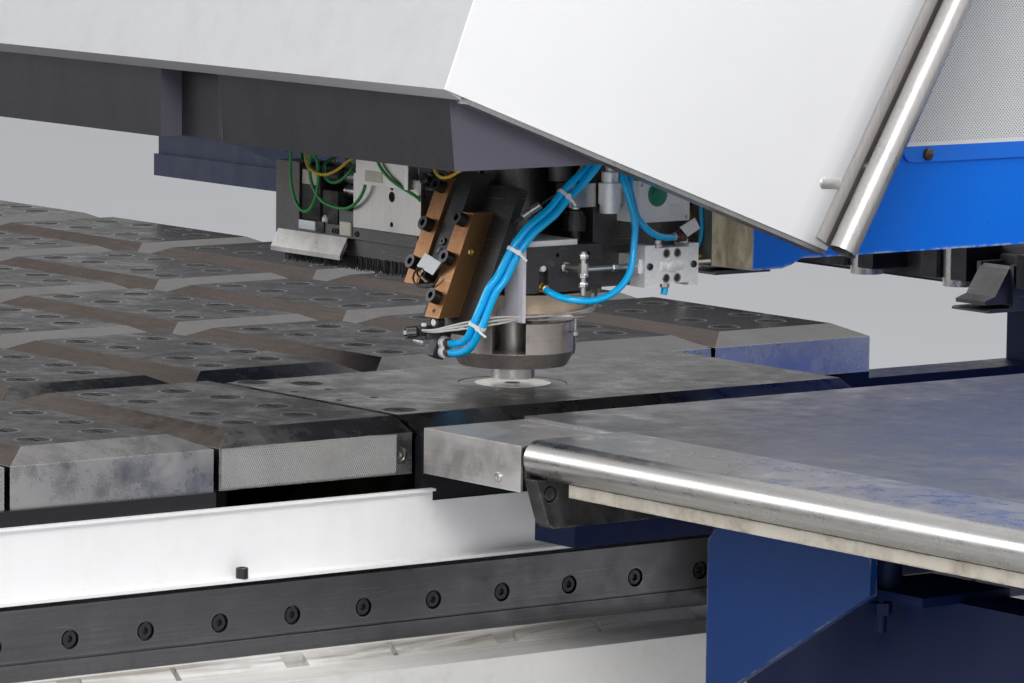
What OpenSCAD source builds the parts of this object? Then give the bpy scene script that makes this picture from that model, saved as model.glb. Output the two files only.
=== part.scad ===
// Single-head CNC punching machine with a C-frame, moving tables and a linear tool magazine.
// Origin on the floor under the punch axis, +Z up, +Y into the throat, +X to the right-hand table.

/* [Table] */
// Height of the table surface above the floor
table_z = 930; // [910:1:950]
// Half width of the fixed centre strip between the moving tables
strip_half = 262; // [250:1:266]
// Length of one table pad along X
pad_l = 487; // [450:1:490]
// Width of one table pad along Y
pad_w = 286; // [260:1:290]
// Gap between neighbouring pads
pad_gap = 8; // [6:1:12]
// Height of a pad from its feet to its top
pad_h = 68; // [60:1:74]
// Wall thickness of a pad
pad_wall = 14; // [10:1:18]
// Width of the bevel round a pad
pad_bevel = 40; // [30:1:46]
// Drop of the bevel round a pad
bevel_drop = 17; // [12:1:20]
// Diameter of a round table insert
insert_d = 46; // [36:1:50]
// Outer reach of each side table from the punch axis
table_reach = 2700; // [2400:10:3000]
// Front edge of the right-hand table
table_front = 342; // [330:1:360]
// Rear edge of both side tables
table_back = 1000; // [900:10:1040]
// Thickness of the round steel edge of the right-hand table
edge_tube_d = 46; // [42:1:50]

/* [Head] */
// Diameter of the stripper cup
cup_d = 164; // [156:1:170]
// Height of the stripper cup
cup_h = 61; // [56:1:66]
// Height of the cup's bottom face above the table
cup_lift = 25; // [22:1:28]
// Diameter of the stripper tube
stripper_d = 58; // [54:1:60]
// Diameter of the punch shank
punch_d = 40; // [36:1:42]
// Diameter of the punch tip
tip_d = 20; // [12:1:22]
// Clearance all round between the punch tip and the die
die_clearance = 0.6; // [0.4:0.1:1.2]
// Outer diameter of the rotation ring
ring_d = 202; // [196:1:208]
// Height of the rotation ring
ring_h = 24; // [20:1:26]
// Lean of the bronze guide bars from the vertical
bar_lean = 22; // [18:1:24]
// Square section of a bronze guide bar
bar_s = 30; // [26:1:32]
// Head diameter of the cap screws on the guide bars
cap_d = 18; // [16:1:20]

/* [Frame] */
// Half width of the C-frame
arm_half = 160; // [150:1:170]
// Height of the underside of the upper arm
arm_z = 1088; // [1084:1:1110]
// Depth of the throat behind the punch axis
throat = 1580; // [1560:10:1700]
// Thickness of the column of the C-frame along Y
column = 620; // [560:10:700]
// Height of the top of the C-frame
frame_top = 1876; // [1840:1:1900]
// Outer face of the bed's guide rails
rail_x = 258; // [250:1:262]

/* [Covers] */
// Right-hand side of the hood
hood_right = 330; // [324:1:340]
// Left-hand side of the hood
hood_left = 760; // [740:1:800]
// Lowest edge of the hood's front
hood_lip_z = 1343; // [1338:1:1350]
// Thickness of the cover sheets
sheet = 3; // [2:0.5:4]
// Diameter of the guard tube beside the hood
guard_d = 36; // [32:1:40]

/* [Hidden] */
$fn = 48;

// Clearances: gap between faces that are seated, and running gap between bodies
seat = 0.3;
fit_gap = 0.3;
turn_gap = 1;

// Colours
blue = "#0b5fc4";
navy = "#1b3f86";
white_paint = "#e4e4e2";
charcoal = "#46464c";
steel = "#a9a8a6";
dark_steel = "#4c4a4a";
bronze = "#a9743f";
black = "#1c1c1e";
hose_blue = "#1a86d8";

// Table
col_pitch = pad_l + pad_gap;
row_pitch = pad_w + pad_gap;
pad_right = strip_half - 36;
pad_left = pad_right - pad_l;
flap_back = -326;
flap_front = flap_back - pad_w;
pad_under = table_z - pad_h;
slit_w = 5;
slit_depth = 3;
left_front = -905;
insert_t = 8;
spot_rows = [[160, -59], [70, -47], [136, 47], [53, 67]];
pad_spots = spots(pad_l, pad_w);
centre_spots = [[-178, -288], [-131, -234], [148, -288]];
centre_holes = [[-68, -298], [31, -298], [-68, -245], [33, -245]];
plate_t = 20;
side_gap = 10;
edge_y = -table_front + edge_tube_d;
nose_top = table_z + 2;
edge_z = nose_top - edge_tube_d;
deck_t = 7;
deck_z = table_z - 1 - deck_t;
strip_back = -188;
ramp_right = 469;
ramp_top = table_z - 5;
ramp_low = table_z - 61;
nose_x = ramp_right + 5;
flange_x = 540;
flange_h = 16;
bracket_x = 694;
bracket_y = -226;
table_in = rail_x + side_gap + 5;
pads_right = -strip_half - pad_gap - 4;
left_rows = 6;
left_cols = 5;
frame_in = table_in + 40;
frame_low = 640;
foot_x0 = bracket_x - 4;
foot_x1 = foot_x0 + 80;
bolt_at = [906, -150];
beam_t = 80;

// Bed
bed_front = -1240;
bed_back = throat + column;
rail_h = 85;
rail_z = 664;
ledge_x = rail_x + 97;
ledge_drop = 17;
pocket_y = -549;
pocket_pitch = 318;
rail_t = 26;
bed_half = rail_x - rail_t - seat;
bed_top = 752;
bed_wall = 30;
panel_t = 3;
panel_top = 843;
foot_h = 60;
foot_d = 130;
foot_x = 190;
foot_hole = 18;
foot_rows = [-1100, -450, 450, throat + column - 120];
screw_x0 = rail_x - 9;
screw_first = bed_front + 79.6;
screw_pitch = 105.8;
screw_last = 24;
screw_z = rail_z + 44;
centre_back = 400;
carriage_l = 220;
carriage_rows = [150, 900];
hinge_y = flap_front + 34;
hinge_z = pad_under + 12;
hinge_d = 14;
lug_x = 150;
lug_t = 18;
frame_z = 780;
frame_h = 66;

// Head heights
cup_z = table_z + cup_lift;
cup_top = cup_z + cup_h;
ring_z = cup_top + 14;
block_z = ring_z + ring_h + 7;
block_h = 59;
block_front = -75;
block_back = 47;
block_x = 125;
block_left = -75;
slot_t = 9;
slot_w = 15.5;
slot_y = -47.2;
slot_rise = 27;
plate_back = 8;
nose_y = 200;
plate_top_t = 7;
block_top = block_z + block_h;
spindle_d = 72;
spindle_bore = spindle_d + 2 * fit_gap;
neck_d = 92;
neck_bore = spindle_d + 4;

// Inclined guide bars: the front face meets this point
bar_front_y = -166;
bar_foot_z = 1029;
carrier_t = 13;
wall_x = 105;
bar_l = 142;
bar_1 = [-34, 40];
bar_2 = [32, 0];
bar_screws = [26, 78.5, 131];

// Hood outline in the Y-Z plane
hood_front_y = -357;
hood_low_y = 250;
hood_low_z = 1118;
hood_top = frame_top + seat + sheet;
hood_rise = hood_top - hood_lip_z;
front_lean = 0.40;
lip_return = 26;
skirt_y = hood_front_y + lip_return + seat;
guard_lean = 0.596;
hood_top_front = hood_front_y + front_lean * hood_rise;
hood_top_back = hood_low_y + guard_lean * (hood_top - hood_low_z);
hood_side = [[hood_front_y, hood_lip_z], [hood_low_y, hood_low_z], [hood_top_back, hood_top],
    [hood_top_front, hood_top]];
skirt_z = 1240;
grille_t = 3.5;

// Pieces on and beside the head
die_holder_d = 140;
die_z = 700;
window_turn = -41;
window_w = 44;
cup_floor = 12;
brush_front = -100;
brush_left = -398;
brush_z = 1104;
brush_top = 1196;
brush_low = 1080;
plate_x = [-208, -58];
plate_holes = [1131, 1167, 1179];
wire_end_z = 1181;
valve_x = 152;
valve_y = [68, 164];
hose_lug_x = 42;
hose_d = 10;
valve_hose_d = 9;
wire_d = 5;
sweep_side = [1, 1, 0.4];

// Centre lines of the hoses and the earth wire
hose_route_a = [[wall_x + seat, 62, 1336], [116, 62, 1335], [133, 58, 1324], [145, 46, 1290],
    [147, 28, 1250], [147, 11, 1226], [146.2, -14.6, 1207.2], [143.3, -33.6, 1189.6],
    [141.4, -51.2, 1170.9], [140, -68.4, 1158.9], [138.3, -85.4, 1146.1], [135.1, -106.6, 1120.2],
    [129, -122.4, 1088.1], [125.5, -134.3, 1072.2], [119.4, -142.6, 1047.5], [113, -147.4, 1028.5],
    [101, -146.7, 1010.3], [91, -145.8, 1002.7], [82, -146, 998.8], [66, -145.1, 995.7],
    [hose_lug_x + seat, -145.1, 995.7]];
hose_route_b = [[wall_x + seat, 62, 1352], [118, 62, 1351], [142, 56, 1338], [157, 40, 1292],
    [160, 25, 1250], [159.5, 12, 1226], [151.8, -8.6, 1199.6], [148.7, -27.8, 1182.8],
    [146.6, -45.6, 1163.9], [145, -63.4, 1151.3], [143.7, -79.4, 1139.5], [140.9, -99.8, 1115],
    [135, -115.6, 1082.9], [131.5, -127.3, 1067.4], [125.6, -135.2, 1043.5], [121.6, -140.5, 1025],
    [117, -143.9, 1013.8], [109, -143.7, 1003], [98, -143.6, 992.9], [84, -143.7, 986.8],
    [66, -144.9, 983.5], [hose_lug_x + seat, -144.9, 983.5]];
valve_route_a = [[wall_x + seat, 120, 1290], [118, 119, 1290], [142, 108, 1278], [156, 88, 1250],
    [159, 73, 1222], [159, 63.5, 1200], [162, 66.5, 1179], [168, 69.5, 1157], [173, 81, 1141],
    [172, 100, 1131], [170, 116, 1128], [168, 129, 1127], [167, 136, 1123.5],
    [valve_x + 15, 137.5, 1116 + seat]];
valve_route_b = [[wall_x + seat, 120, 1266], [116, 118, 1265], [136, 102, 1254], [146, 78, 1236],
    [160, 52, 1214], [168, 49, 1199], [172, 53, 1180], [178, 58, 1150], [179, 56, 1120], [184, 48, 1093],
    [186, 34, 1074], [185, 12, 1060], [180, -12, 1054], [170, -31, 1055], [155, -43, 1058],
    [138, -47, 1063], [126, slot_y, 1067], [block_x - slot_t + seat, slot_y, 1068]];
wire_route = [[-372, -75, brush_top + seat], [-370, -79, 1209], [-362, -92, 1218], [-352, -106, 1218],
    [-345, -113, 1206], [-346, -113, 1180], [-340, -113, 1156], [-329, -113, 1140], [-314, -113, 1133],
    [-299, -113, 1138], [-288, -113, 1153], [-282, -113, 1174], [-283, -113, 1198], [-290, -113, 1211],
    [-298, -113, 1210], [-302, -113, 1198], [-299, -113, 1177], [-289, -113, 1162], [-272, -113, 1150],
    [-248, -113.5, 1145], [-222, -114, 1144], [-202, -114.5, 1149], [-186, -115, 1159],
    [-175, -115.5, 1171],
    [-171, -115.5, wire_end_z - seat]];

// Cross rail and carriage
rail_front = 1190;
beam_w = 120;
beam_z = table_z + 18;
beam_h = 122;
carriage_half = 1240;
cassette_n = 11;
cassette_pitch = 210;
tool_d = 50;
clamp_x = [-945, -315, 315, 945];
clamp_half = 40;
clamp_reach = 110;
lower_jaw_z = table_z + 2;
jaw_t = 5;
mouth = 6;
jaw_axis_y = rail_front - 50;
jaw_axis_z = table_z + 56;
jaw_pin_d = 14;

// Shapes used by several pieces
module box(x0, x1, y0, y1, z0, z1) {
    translate([x0, y0, z0]) cube([x1 - x0, y1 - y0, z1 - z0]);
}

// A prism along X with its outline given as Y, Z points
module prism_x(x0, x1, outline) {
    translate([x0, 0, 0]) rotate([90, 0, 90]) linear_extrude(x1 - x0) polygon(outline);
}

module socket_screw(d, h) {
    difference() {
        cylinder(d = d, h = h);
        translate([0, 0, h * 0.45]) cylinder(d = d * 0.55, h = h, $fn = 6);
    }
}

// A swept tube through hand-chosen points
function unit(v) = v / norm(v);
function tangent(p, i) = unit(p[min(i + 1, len(p) - 1)] - p[max(i - 1, 0)]);
function side_of(t) = unit(cross(t, sweep_side));
function ring_at(c, t, d, n) = let (s = side_of(t), u = cross(s, t))
    [for (k = [0 : n - 1]) c + d / 2 * (cos(360 * k / n) * s + sin(360 * k / n) * u)];

module sweep(p, d, n = 8) {
    m = len(p);
    rings = [for (i = [0 : m - 1]) each ring_at(p[i], tangent(p, i), d, n)];
    walls = [for (i = [0 : m - 2]) for (k = [0 : n - 1])
        [i * n + k, i * n + (k + 1) % n, (i + 1) * n + (k + 1) % n, (i + 1) * n + k]];
    polyhedron(rings, concat([[for (k = [n - 1 : -1 : 0]) k]], walls,
        [[for (k = [0 : n - 1]) (m - 1) * n + k]]));
}

// One table pad: a bevelled steel cap on walls, open underneath, with holes for its inserts
module pad(l, w, spots, rear = [pad_bevel, bevel_drop]) {
    b = pad_bevel;
    t = pad_h;
    difference() {
        intersection() {
            rotate([90, 0, 90]) linear_extrude(l)
                polygon([[0, 0], [w, 0], [w, t - rear[1]], [w - rear[0], t], [b, t], [0, t - bevel_drop]]);
            translate([0, w, 0]) rotate([90, 0, 0]) linear_extrude(w)
                polygon([[0, 0], [l, 0], [l, t - bevel_drop], [l - b, t], [b, t], [0, t - bevel_drop]]);
        }
        translate([pad_wall, pad_wall, -1])
            cube([l - 2 * pad_wall, w - 2 * pad_wall, t - bevel_drop - pad_wall]);
        for (p = spots) translate([p[0], p[1], t - insert_t]) cylinder(d = insert_d, h = insert_t + 1);
    }
}

// Round slotted inserts for the pad of the same size
module inserts(spots) {
    for (p = spots) translate([p[0], p[1], pad_h - insert_t + seat / 2]) difference() {
        cylinder(d = insert_d - 2 * seat, h = insert_t - seat / 2 - 0.5);
        translate([-insert_d * 0.28, -slit_w / 2, insert_t - slit_depth - 0.5])
            cube([insert_d * 0.56, slit_w, slit_depth + 1]);
    }
}

function spots(l, w) = [for (s = [-1, 1], p = spot_rows) [l / 2 + s * p[0], w / 2 + p[1]]];

module base_frame() color(white_paint) {
    side = bed_half - bed_wall;
    difference() {
        union() {
            box(-bed_half, bed_half, bed_front, bed_back, foot_h, bed_top);
            for (s = [-1, 1]) scale([s, 1, 1])
                translate([0, throat - 80, 0]) rotate([90, 0, 0]) linear_extrude(throat - 80 - bed_front)
                polygon([[bed_half - 1, foot_h], [bed_half - 1, rail_z - seat], [rail_x + 4, rail_z - seat],
                    [rail_x + 25, rail_z - ledge_drop], [ledge_x, rail_z - ledge_drop], [ledge_x, foot_h]]);
        }
        box(-side, side, bed_front + bed_wall, -360, foot_h + bed_wall, bed_top + 1);
        box(-arm_half - 2, arm_half + 2, -270, bed_back + 1, foot_h + 120, bed_top + 1);
        for (s = [-1, 1], k = [-1 : 5]) scale([s, 1, 1])
            translate([rail_x + 6, pocket_y + k * pocket_pitch, rail_z - 30])
            cube([17, 34, 31]);
        for (s = [-1, 1], k = [-1 : 4]) scale([s, 1, 1])
            translate([rail_x + 6, pocket_y + pocket_pitch / 2 + k * pocket_pitch, rail_z - 30])
            cube([17, 8, 31]);
    }
    for (s = [-1, 1]) scale([s, 1, 1]) {
        box(side, bed_half, bed_front, flap_front - pad_gap, bed_top - 1, pad_under - seat);
        box(bed_half - 12, bed_half, flap_back + 10, centre_back, bed_top - 1, table_z - plate_t - seat);
        box(lug_x, lug_x + lug_t, hinge_y - 16, hinge_y + 16, bed_top - 12, hinge_z + 12);
    }
    box(-side - 1, side + 1, flap_front - pad_gap - 20, flap_front - pad_gap, bed_top - 80,
        pad_under - seat);
    box(-side - 1, side + 1, hinge_y - 40, hinge_y + 20, bed_top - 60, bed_top - 11);
    translate([pad_left + 2, hinge_y, hinge_z]) rotate([0, 90, 0]) cylinder(d = hinge_d, h = pad_l - 6);
}

module levelling_feet() color(black) {
    for (x = [-foot_x, foot_x], y = foot_rows) translate([x, y, 0]) {
        difference() {
            cylinder(d = foot_d, h = 18);
            translate([sign(x) * 45, 0, -1]) cylinder(d = foot_hole, h = 20);
        }
        cylinder(d = 48, h = foot_h - seat);
    }
}

module bed_panel() color(white_paint) {
    step_y = -300;
    x = bed_half + seat;
    for (s = [-1, 1]) scale([s, 1, 1]) {
        box(x, x + panel_t, bed_front, flap_front - pad_gap, bed_top + 2, panel_top);
        box(x, x + panel_t, step_y, 700, bed_top + 2, panel_top - 16);
        box(x, rail_x - 2, bed_front, 700, bed_top + 2, bed_top + 6);
    }
    box(x, x + panel_t, bed_front, step_y, bed_top + 2, panel_top);
    box(x, x + 10, bed_front, step_y, panel_top - 3, panel_top);
}

module y_rails() color(dark_steel) {
    for (s = [-1, 1]) scale([s, 1, 1]) difference() {
        box(rail_x - rail_t, rail_x, bed_front + 10, throat - 90, rail_z, rail_z + rail_h);
        box(rail_x - 4, rail_x + 1, bed_front, throat, rail_z + 20, rail_z + 24);
        for (k = [0 : screw_last]) translate([screw_x0, screw_first + k * screw_pitch, screw_z])
            rotate([0, 90, 0]) cylinder(d = cap_d + 6, h = 12);
    }
}

module c_frame() color(blue) {
    r = 90;
    d = r * 0.29;
    z0 = foot_h + 120 + seat;
    arm_low = 840;
    difference() {
        prism_x(-arm_half, arm_half, [[-260, z0], [bed_back - 4, z0], [bed_back - 4, frame_top - 160],
            [bed_back - 160, frame_top], [nose_y + 250, frame_top], [nose_y, frame_top - 250],
            [nose_y, arm_z - 2],
            [nose_y + 71, arm_z - 12], [nose_y + 120, arm_z - 11.5], [nose_y + 136, arm_z - 7],
            [nose_y + 152, arm_z], [throat - r, arm_z],
            [throat - d, arm_z - d], [throat, arm_z - r], [throat, arm_low + r], [throat - d, arm_low + d],
            [throat - r, arm_low], [-170, arm_low], [-260, arm_low - 80]]);
        translate([0, 0, die_z - seat]) cylinder(d = die_holder_d + 2 * turn_gap, h = 200);
        for (x = [-60, 60], z = [1150, 1300])
            translate([x, nose_y - 1, z]) rotate([-90, 0, 0]) cylinder(d = 18, h = 60);
    }
}

module hood_shell() color(white_paint) {
    y = hood_front_y;
    z = hood_lip_z;
    prism_x(-hood_left, hood_right - sheet - seat, [[y, z], [y + lip_return, z - 14],
        [y + lip_return, z - 10],
        [y + sheet + 1, z + 2], [hood_top_front + sheet + 1, hood_top - sheet],
        [hood_top_back, hood_top - sheet],
        [hood_top_back, hood_top], [hood_top_front, hood_top]]);
    prism_x(-hood_left, -hood_left + sheet, hood_side);
}

module hood_side_panel() color("white") {
    prism_x(hood_right - sheet, hood_right, hood_side);
}

module hood_trim() color(steel) {
    slope = (hood_low_z - hood_lip_z) / (hood_low_y - hood_front_y);
    y0 = hood_front_y + lip_return + 10;
    z0 = hood_lip_z + slope * (y0 - hood_front_y);
    prism_x(300 + seat, hood_right - sheet - seat, [[y0, z0 + 12], [y0, z0 - 6],
        [hood_low_y, hood_low_z - 6], [hood_low_y, hood_low_z + 12]]);
}

module guard_tube() color(steel) {
    length = 820;
    a = atan(guard_lean);
    off = guard_d / 2 + 6;
    translate([hood_right + off, hood_low_y + 6, hood_low_z]) rotate([-a, 0, 0]) difference() {
        cylinder(d = guard_d, h = length);
        translate([0, 0, -1]) cylinder(d = guard_d - 6, h = length + 2);
    }
    for (k = [120, 420, 720])
        translate([hood_right + seat, hood_low_y + 6 + k * sin(a), hood_low_z + k * cos(a)])
        rotate([0, 90, 0]) cylinder(d = 14, h = 8);
}

module skirt_left() color(charcoal) {
    top = hood_lip_z - 2;
    inner_y = skirt_y + 36;
    box(-hood_left + sheet + seat, -330, skirt_y, skirt_y + sheet, skirt_z, top);
    box(-330 - sheet, -330, skirt_y, inner_y, skirt_z, top);
    box(-330 - sheet, -205, inner_y - sheet, inner_y, skirt_z, top);
    box(-208, -205, skirt_y + 8, inner_y, skirt_z + 6, top);
    box(-208, -200, skirt_y + 8, skirt_y + 11, skirt_z + 6, top);
}

module skirt_centre() color(charcoal) {
    top = hood_lip_z - 2;
    foot_y = skirt_y + 11;
    difference() {
        prism_x(-199, 300, [[foot_y, skirt_z], [-95, skirt_z], [-95, skirt_z + 14], [-280, top - 20],
            [-300, top], [skirt_y, top]]);
        prism_x(-202, 300 - sheet, [[foot_y + sheet, skirt_z - 1], [-90, skirt_z - 1], [-90, top + 1],
            [skirt_y + sheet, top + 1]]);
    }
}

module grille_panel() color("#d8d8d6") {
    r = 16;
    y0 = nose_y + 324;
    z0 = arm_z + 119;
    l = throat - 180 - y0;
    h = frame_top - 176 - z0;
    x = arm_half + seat;
    translate([x, y0, z0]) rotate([90, 0, 90]) linear_extrude(grille_t) union() {
        translate([r, 0]) square([l - r, h]);
        translate([0, r]) square([r + 1, h - r]);
        translate([r, r]) circle(r);
    }
    for (y = [y0 + 42, y0 + l / 2, y0 + l - 42]) translate([x + grille_t + seat, y, z0 + 10])
        rotate([0, 90, 0]) cylinder(d1 = 14, d2 = 9, h = 5);
}

module head_carrier() color(dark_steel) {
    difference() {
        box(-wall_x, wall_x, block_back + seat, nose_y - seat, block_z, 1420);
        for (x = [-60, 60], z = [1150, 1300])
            translate([x, block_back, z]) rotate([-90, 0, 0]) cylinder(d = 14, h = 200);
    }
}

module head_block() color(charcoal) {
    difference() {
        box(block_left, block_x, block_front, block_back, block_z, block_top);
        translate([0, 0, block_z - 1]) cylinder(d = neck_d + 2 * fit_gap, h = block_h + 2);
        translate([block_x - slot_t, slot_y - slot_w / 2, block_z - 1]) cube([20, slot_w, slot_rise + 1]);
        translate([block_x - slot_t, slot_y, block_z + slot_rise])
            rotate([0, 90, 0]) cylinder(d = slot_w, h = 20);
        for (y = [-25, 25])
            translate([block_x - 8, y, block_top - 12]) rotate([0, 90, 0]) cylinder(d = 6, h = 9);
    }
}

module top_plate() color(steel) {
    difference() {
        box(block_left + 10, block_x - 2, block_front + 4, plate_back, block_top + seat,
            block_top + seat + plate_top_t);
        translate([0, 0, block_top]) cylinder(d = spindle_bore + 2, h = plate_top_t + 2);
    }
}

module corner_plate() color(steel) {
    y0 = block_front - 5 - seat;
    y1 = block_front - seat;
    box(block_x - 38, block_x, y0, y1, ring_z - 6, block_top);
    box(ring_d / 2 - 29, block_x - 37, y0, y1, ring_z - 6, ring_z + 8);
}

module ram_cylinder() color(dark_steel) {
    z0 = block_top + plate_top_t + 2 * seat;
    difference() {
        union() {
            translate([0, 0, z0]) cylinder(d = 92, h = 18);
            translate([0, 0, z0]) cylinder(d = 84, h = 1420 - z0);
            translate([68, 22, z0 + 70]) cylinder(d = 32, h = 180);
            box(30, 68, 12, 32, z0 + 120, z0 + 200);
        }
        translate([0, 0, z0 - 1]) cylinder(d = spindle_bore, h = 230);
    }
}

// Places its children in the inclined frame of the guide bars
module bar_frame() {
    translate([0, bar_front_y, bar_foot_z]) rotate([-bar_lean, 0, 0]) children();
}

// Y of the inclined carrier's rear face at a height, 1 mm inside it
function carrier_back(z) = bar_front_y + (bar_s + seat + carrier_t) / cos(bar_lean) + (z - bar_foot_z) * tan(bar_lean) - 1;

module bar_carrier() color(dark_steel) {
    z0 = block_z + 5;
    z1 = block_top - 6;
    y1 = block_front - seat;
    bar_frame() {
        translate([-48, bar_s + seat, 58]) cube([148, carrier_t, 132]);
        translate([-14, bar_s + seat, 10]) cube([114, carrier_t, 49]);
        translate([24, bar_s + seat, -8]) cube([76, carrier_t, 19]);
        translate([hose_lug_x - 16, bar_s - 6, -44]) cube([16, 18, 37]);
        translate([bar_1[0] + bar_s + seat, 5, 60])
            cube([bar_2[0] - bar_1[0] - bar_s - 2 * seat, bar_s - 4, 138]);
    }
    prism_x(-40, 60, [[carrier_back(z0), z0], [y1, z0], [y1, z1], [carrier_back(z1), z1]]);
}

module guide_bars() color(bronze) {
    rise = bar_s * tan(bar_lean);
    bar_frame() for (at = [bar_1, bar_2]) translate([at[0], 0, at[1]]) difference() {
        prism_x(0, bar_s, [[0, 0], [bar_s, rise], [bar_s, bar_l + rise], [0, bar_l]]);
        for (z = bar_screws)
            translate([bar_s / 2, -1, z]) rotate([-90, 0, 0]) cylinder(d = 12, h = bar_s + 2);
    }
}

module cap_screws() color(black) {
    bar_frame() for (at = [bar_1, bar_2], z = bar_screws)
        translate([at[0] + bar_s / 2, -seat, at[1] + z]) rotate([90, 0, 0]) socket_screw(cap_d, 13);
    for (s = [-1, 1], k = [0 : screw_last]) scale([s, 1, 1])
        translate([screw_x0 + seat, screw_first + k * screw_pitch, screw_z])
            rotate([0, 90, 0]) socket_screw(cap_d, 7);
}

module brush_unit() color(dark_steel) {
    y0 = brush_front;
    y1 = brush_front + 50;
    right = block_left - 1;
    box(brush_left, brush_left + 54, y0, y1, brush_z + 14, brush_top);
    box(brush_left, brush_left + 148, y0, y1, brush_z - 6, brush_z + 15);
    box(brush_left + 147, brush_left + 186, y0, y1, brush_z, brush_z + 36);
    box(brush_left + 185, right, y0, y1, brush_z, brush_z + 15);
    box(brush_left + 53, right, y1 - 8, y1, brush_z + 14, brush_top);
    box(brush_left + 8, right, y0 + 8, y1 - 8, brush_low, brush_z + 1);
    box(-140, -wall_x + 29, y1 - 1, block_back, 1150, 1230);
}

module brush_plate() color(steel) {
    y = brush_front - seat;
    z = brush_z;
    prism_x(brush_left + 6, brush_left + 166, [[y, z], [y - 12, z - 23], [y - 12, z - 29],
        [y - 8, z - 29], [y - 8, z - 24], [y, z - 11]]);
}

module brush_bristles() color(black) {
    for (k = [0 : 22])
        translate([brush_left + 14 + k * 13, brush_front + 9, brush_low - 18]) cube([10, 32, 18 - seat]);
}

module sensor_plate() color(steel) {
    y1 = brush_front - seat;
    t = 7.7;
    difference() {
        box(plate_x[0], plate_x[1], y1 - t, y1, 1121, 1192);
        for (z = plate_holes)
            translate([plate_x[0] + 86, y1 - t - 1, z])
                rotate([-90, 0, 0]) cylinder(d = z == plate_holes[1] ? 14 : 7, h = t + 2);
    }
    box(-182, -66, y1 - t - 15, y1 - t + 0.7, wire_end_z, 1236);
}

module regulator_block() color(steel) {
    difference() {
        box(82, 110, 4, block_back, 1166, 1196);
        translate([96, 3, 1181]) rotate([-90, 0, 0]) cylinder(d = 12, h = 10);
    }
    translate([96, 24, 1163]) cylinder(d = 14, h = 4);
}

module valve_block() color("#c9ccd0") {
    c = (valve_y[0] + valve_y[1]) / 2;
    difference() {
        union() {
            box(valve_x, valve_x + 30, valve_y[0] + 20, valve_y[1] - 20, 1070, 1116);
            for (y = [valve_y[0] + 4, valve_y[1] - 20]) box(valve_x, valve_x + 30, y, y + 16, 1066, 1120);
            box(valve_x + 8, valve_x + 22, valve_y[0], valve_y[1], 1084, 1102);
        }
        for (y = [c - 9, c + 9], z = [1077, 1109])
            translate([valve_x + 24, y, z]) rotate([0, 90, 0]) cylinder(d = 10, h = 8);
    }
    box(105 + seat, valve_x, 90, 130, 1084, 1104);
}

module valve_fittings() color(steel) {
    x = valve_x + 15;
    z = 1093;
    rod_y = -16;
    translate([x, valve_y[0] - seat, z]) rotate([90, 0, 0]) cylinder(d = 8, h = valve_y[0] - seat - rod_y);
    translate([x, valve_y[1] + seat, z]) rotate([-90, 0, 0]) cylinder(d = 7, h = 26);
    translate([x, rod_y, 1060]) cylinder(d = 7, h = 56);
    translate([x, rod_y, 1085]) cylinder(d = 13, h = 16, $fn = 6);
    translate([block_x + seat, rod_y, z]) rotate([0, 90, 0]) cylinder(d = 9, h = x - block_x - seat);
}

module oil_filter() color(steel) {
    translate([wall_x + 15 + seat, 62, 1158]) {
        cylinder(d = 26, h = 13);
        translate([0, 0, 12]) cylinder(d = 30, h = 27);
        translate([0, 0, 38]) cylinder(d = 22, h = 15);
        translate([0, 0, 52]) cylinder(d = 12, h = 22, $fn = 6);
    }
}

module pressure_knob() color(black) {
    stem_h = plate_top_t + 9;
    translate([96, 24, block_top + seat]) {
        cylinder(d = 16, h = stem_h);
        translate([0, 0, stem_h - 1]) cylinder(d = 30, h = 19);
        translate([0, 0, stem_h + 17]) cylinder(d = 24, h = 8);
    }
}

module sign_plate() color(steel) {
    box(147, 150, 86, 170, 1146, 1200);
    box(wall_x + seat, 147.5, 86, 89, 1146, 1200);
}

module hose_bundle() color(hose_blue) {
    sweep(hose_route_a, hose_d);
    sweep(hose_route_b, hose_d);
}

module valve_hoses() color(hose_blue) {
    sweep(valve_route_a, valve_hose_d);
    sweep(valve_route_b, valve_hose_d);
}

module control_wires() color("green") {
    sweep(wire_route, wire_d);
}

module front_pads() color(steel) {
    for (j = [1, 2])
        translate([pad_left, flap_front - j * row_pitch, pad_under]) pad(pad_l, pad_w, pad_spots);
}

module pad_inserts() color(steel) {
    for (j = [1, 2]) translate([pad_left, flap_front - j * row_pitch, pad_under]) inserts(pad_spots);
    translate([0, 0, pad_under]) inserts(centre_spots);
}

module centre_table() color(steel) {
    difference() {
        translate([0, centre_back, 0]) rotate([90, 0, 0]) linear_extrude(centre_back - flap_back - pad_gap)
            polygon([[-bed_half, table_z - plate_t], [pad_right, table_z - plate_t],
                [pad_right, table_z - bevel_drop],
                [pad_right - pad_bevel, table_z], [pad_bevel - bed_half, table_z],
                [-bed_half, table_z - bevel_drop]]);
        translate([0, 0, table_z - plate_t - 1])
            cylinder(d = die_holder_d + 2 * turn_gap, h = plate_t + 2, $fn = 96);
        for (p = centre_spots)
            translate([p[0], p[1], table_z - insert_t]) cylinder(d = insert_d, h = insert_t + 1);
        for (p = centre_holes)
            translate([p[0], p[1], table_z - plate_t - 1]) cylinder(d = 11, h = plate_t + 2);
    }
}

module parts_flap() color(steel) {
    difference() {
        translate([pad_left, flap_front, pad_under]) pad(pad_l, pad_w, pad_spots, [3, 2]);
        translate([pad_left - 1, hinge_y, hinge_z])
            rotate([0, 90, 0]) cylinder(d = hinge_d + 2 * fit_gap, h = pad_l - 2);
        translate([pad_right - 5, flap_back - 18, pad_under + 24])
            rotate([0, 90, 0]) cylinder(d = 22, h = 6);
    }
    translate([pad_right - 6, flap_back - 18, pad_under + 24]) rotate([0, 90, 0]) socket_screw(15, 5);
}

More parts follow.
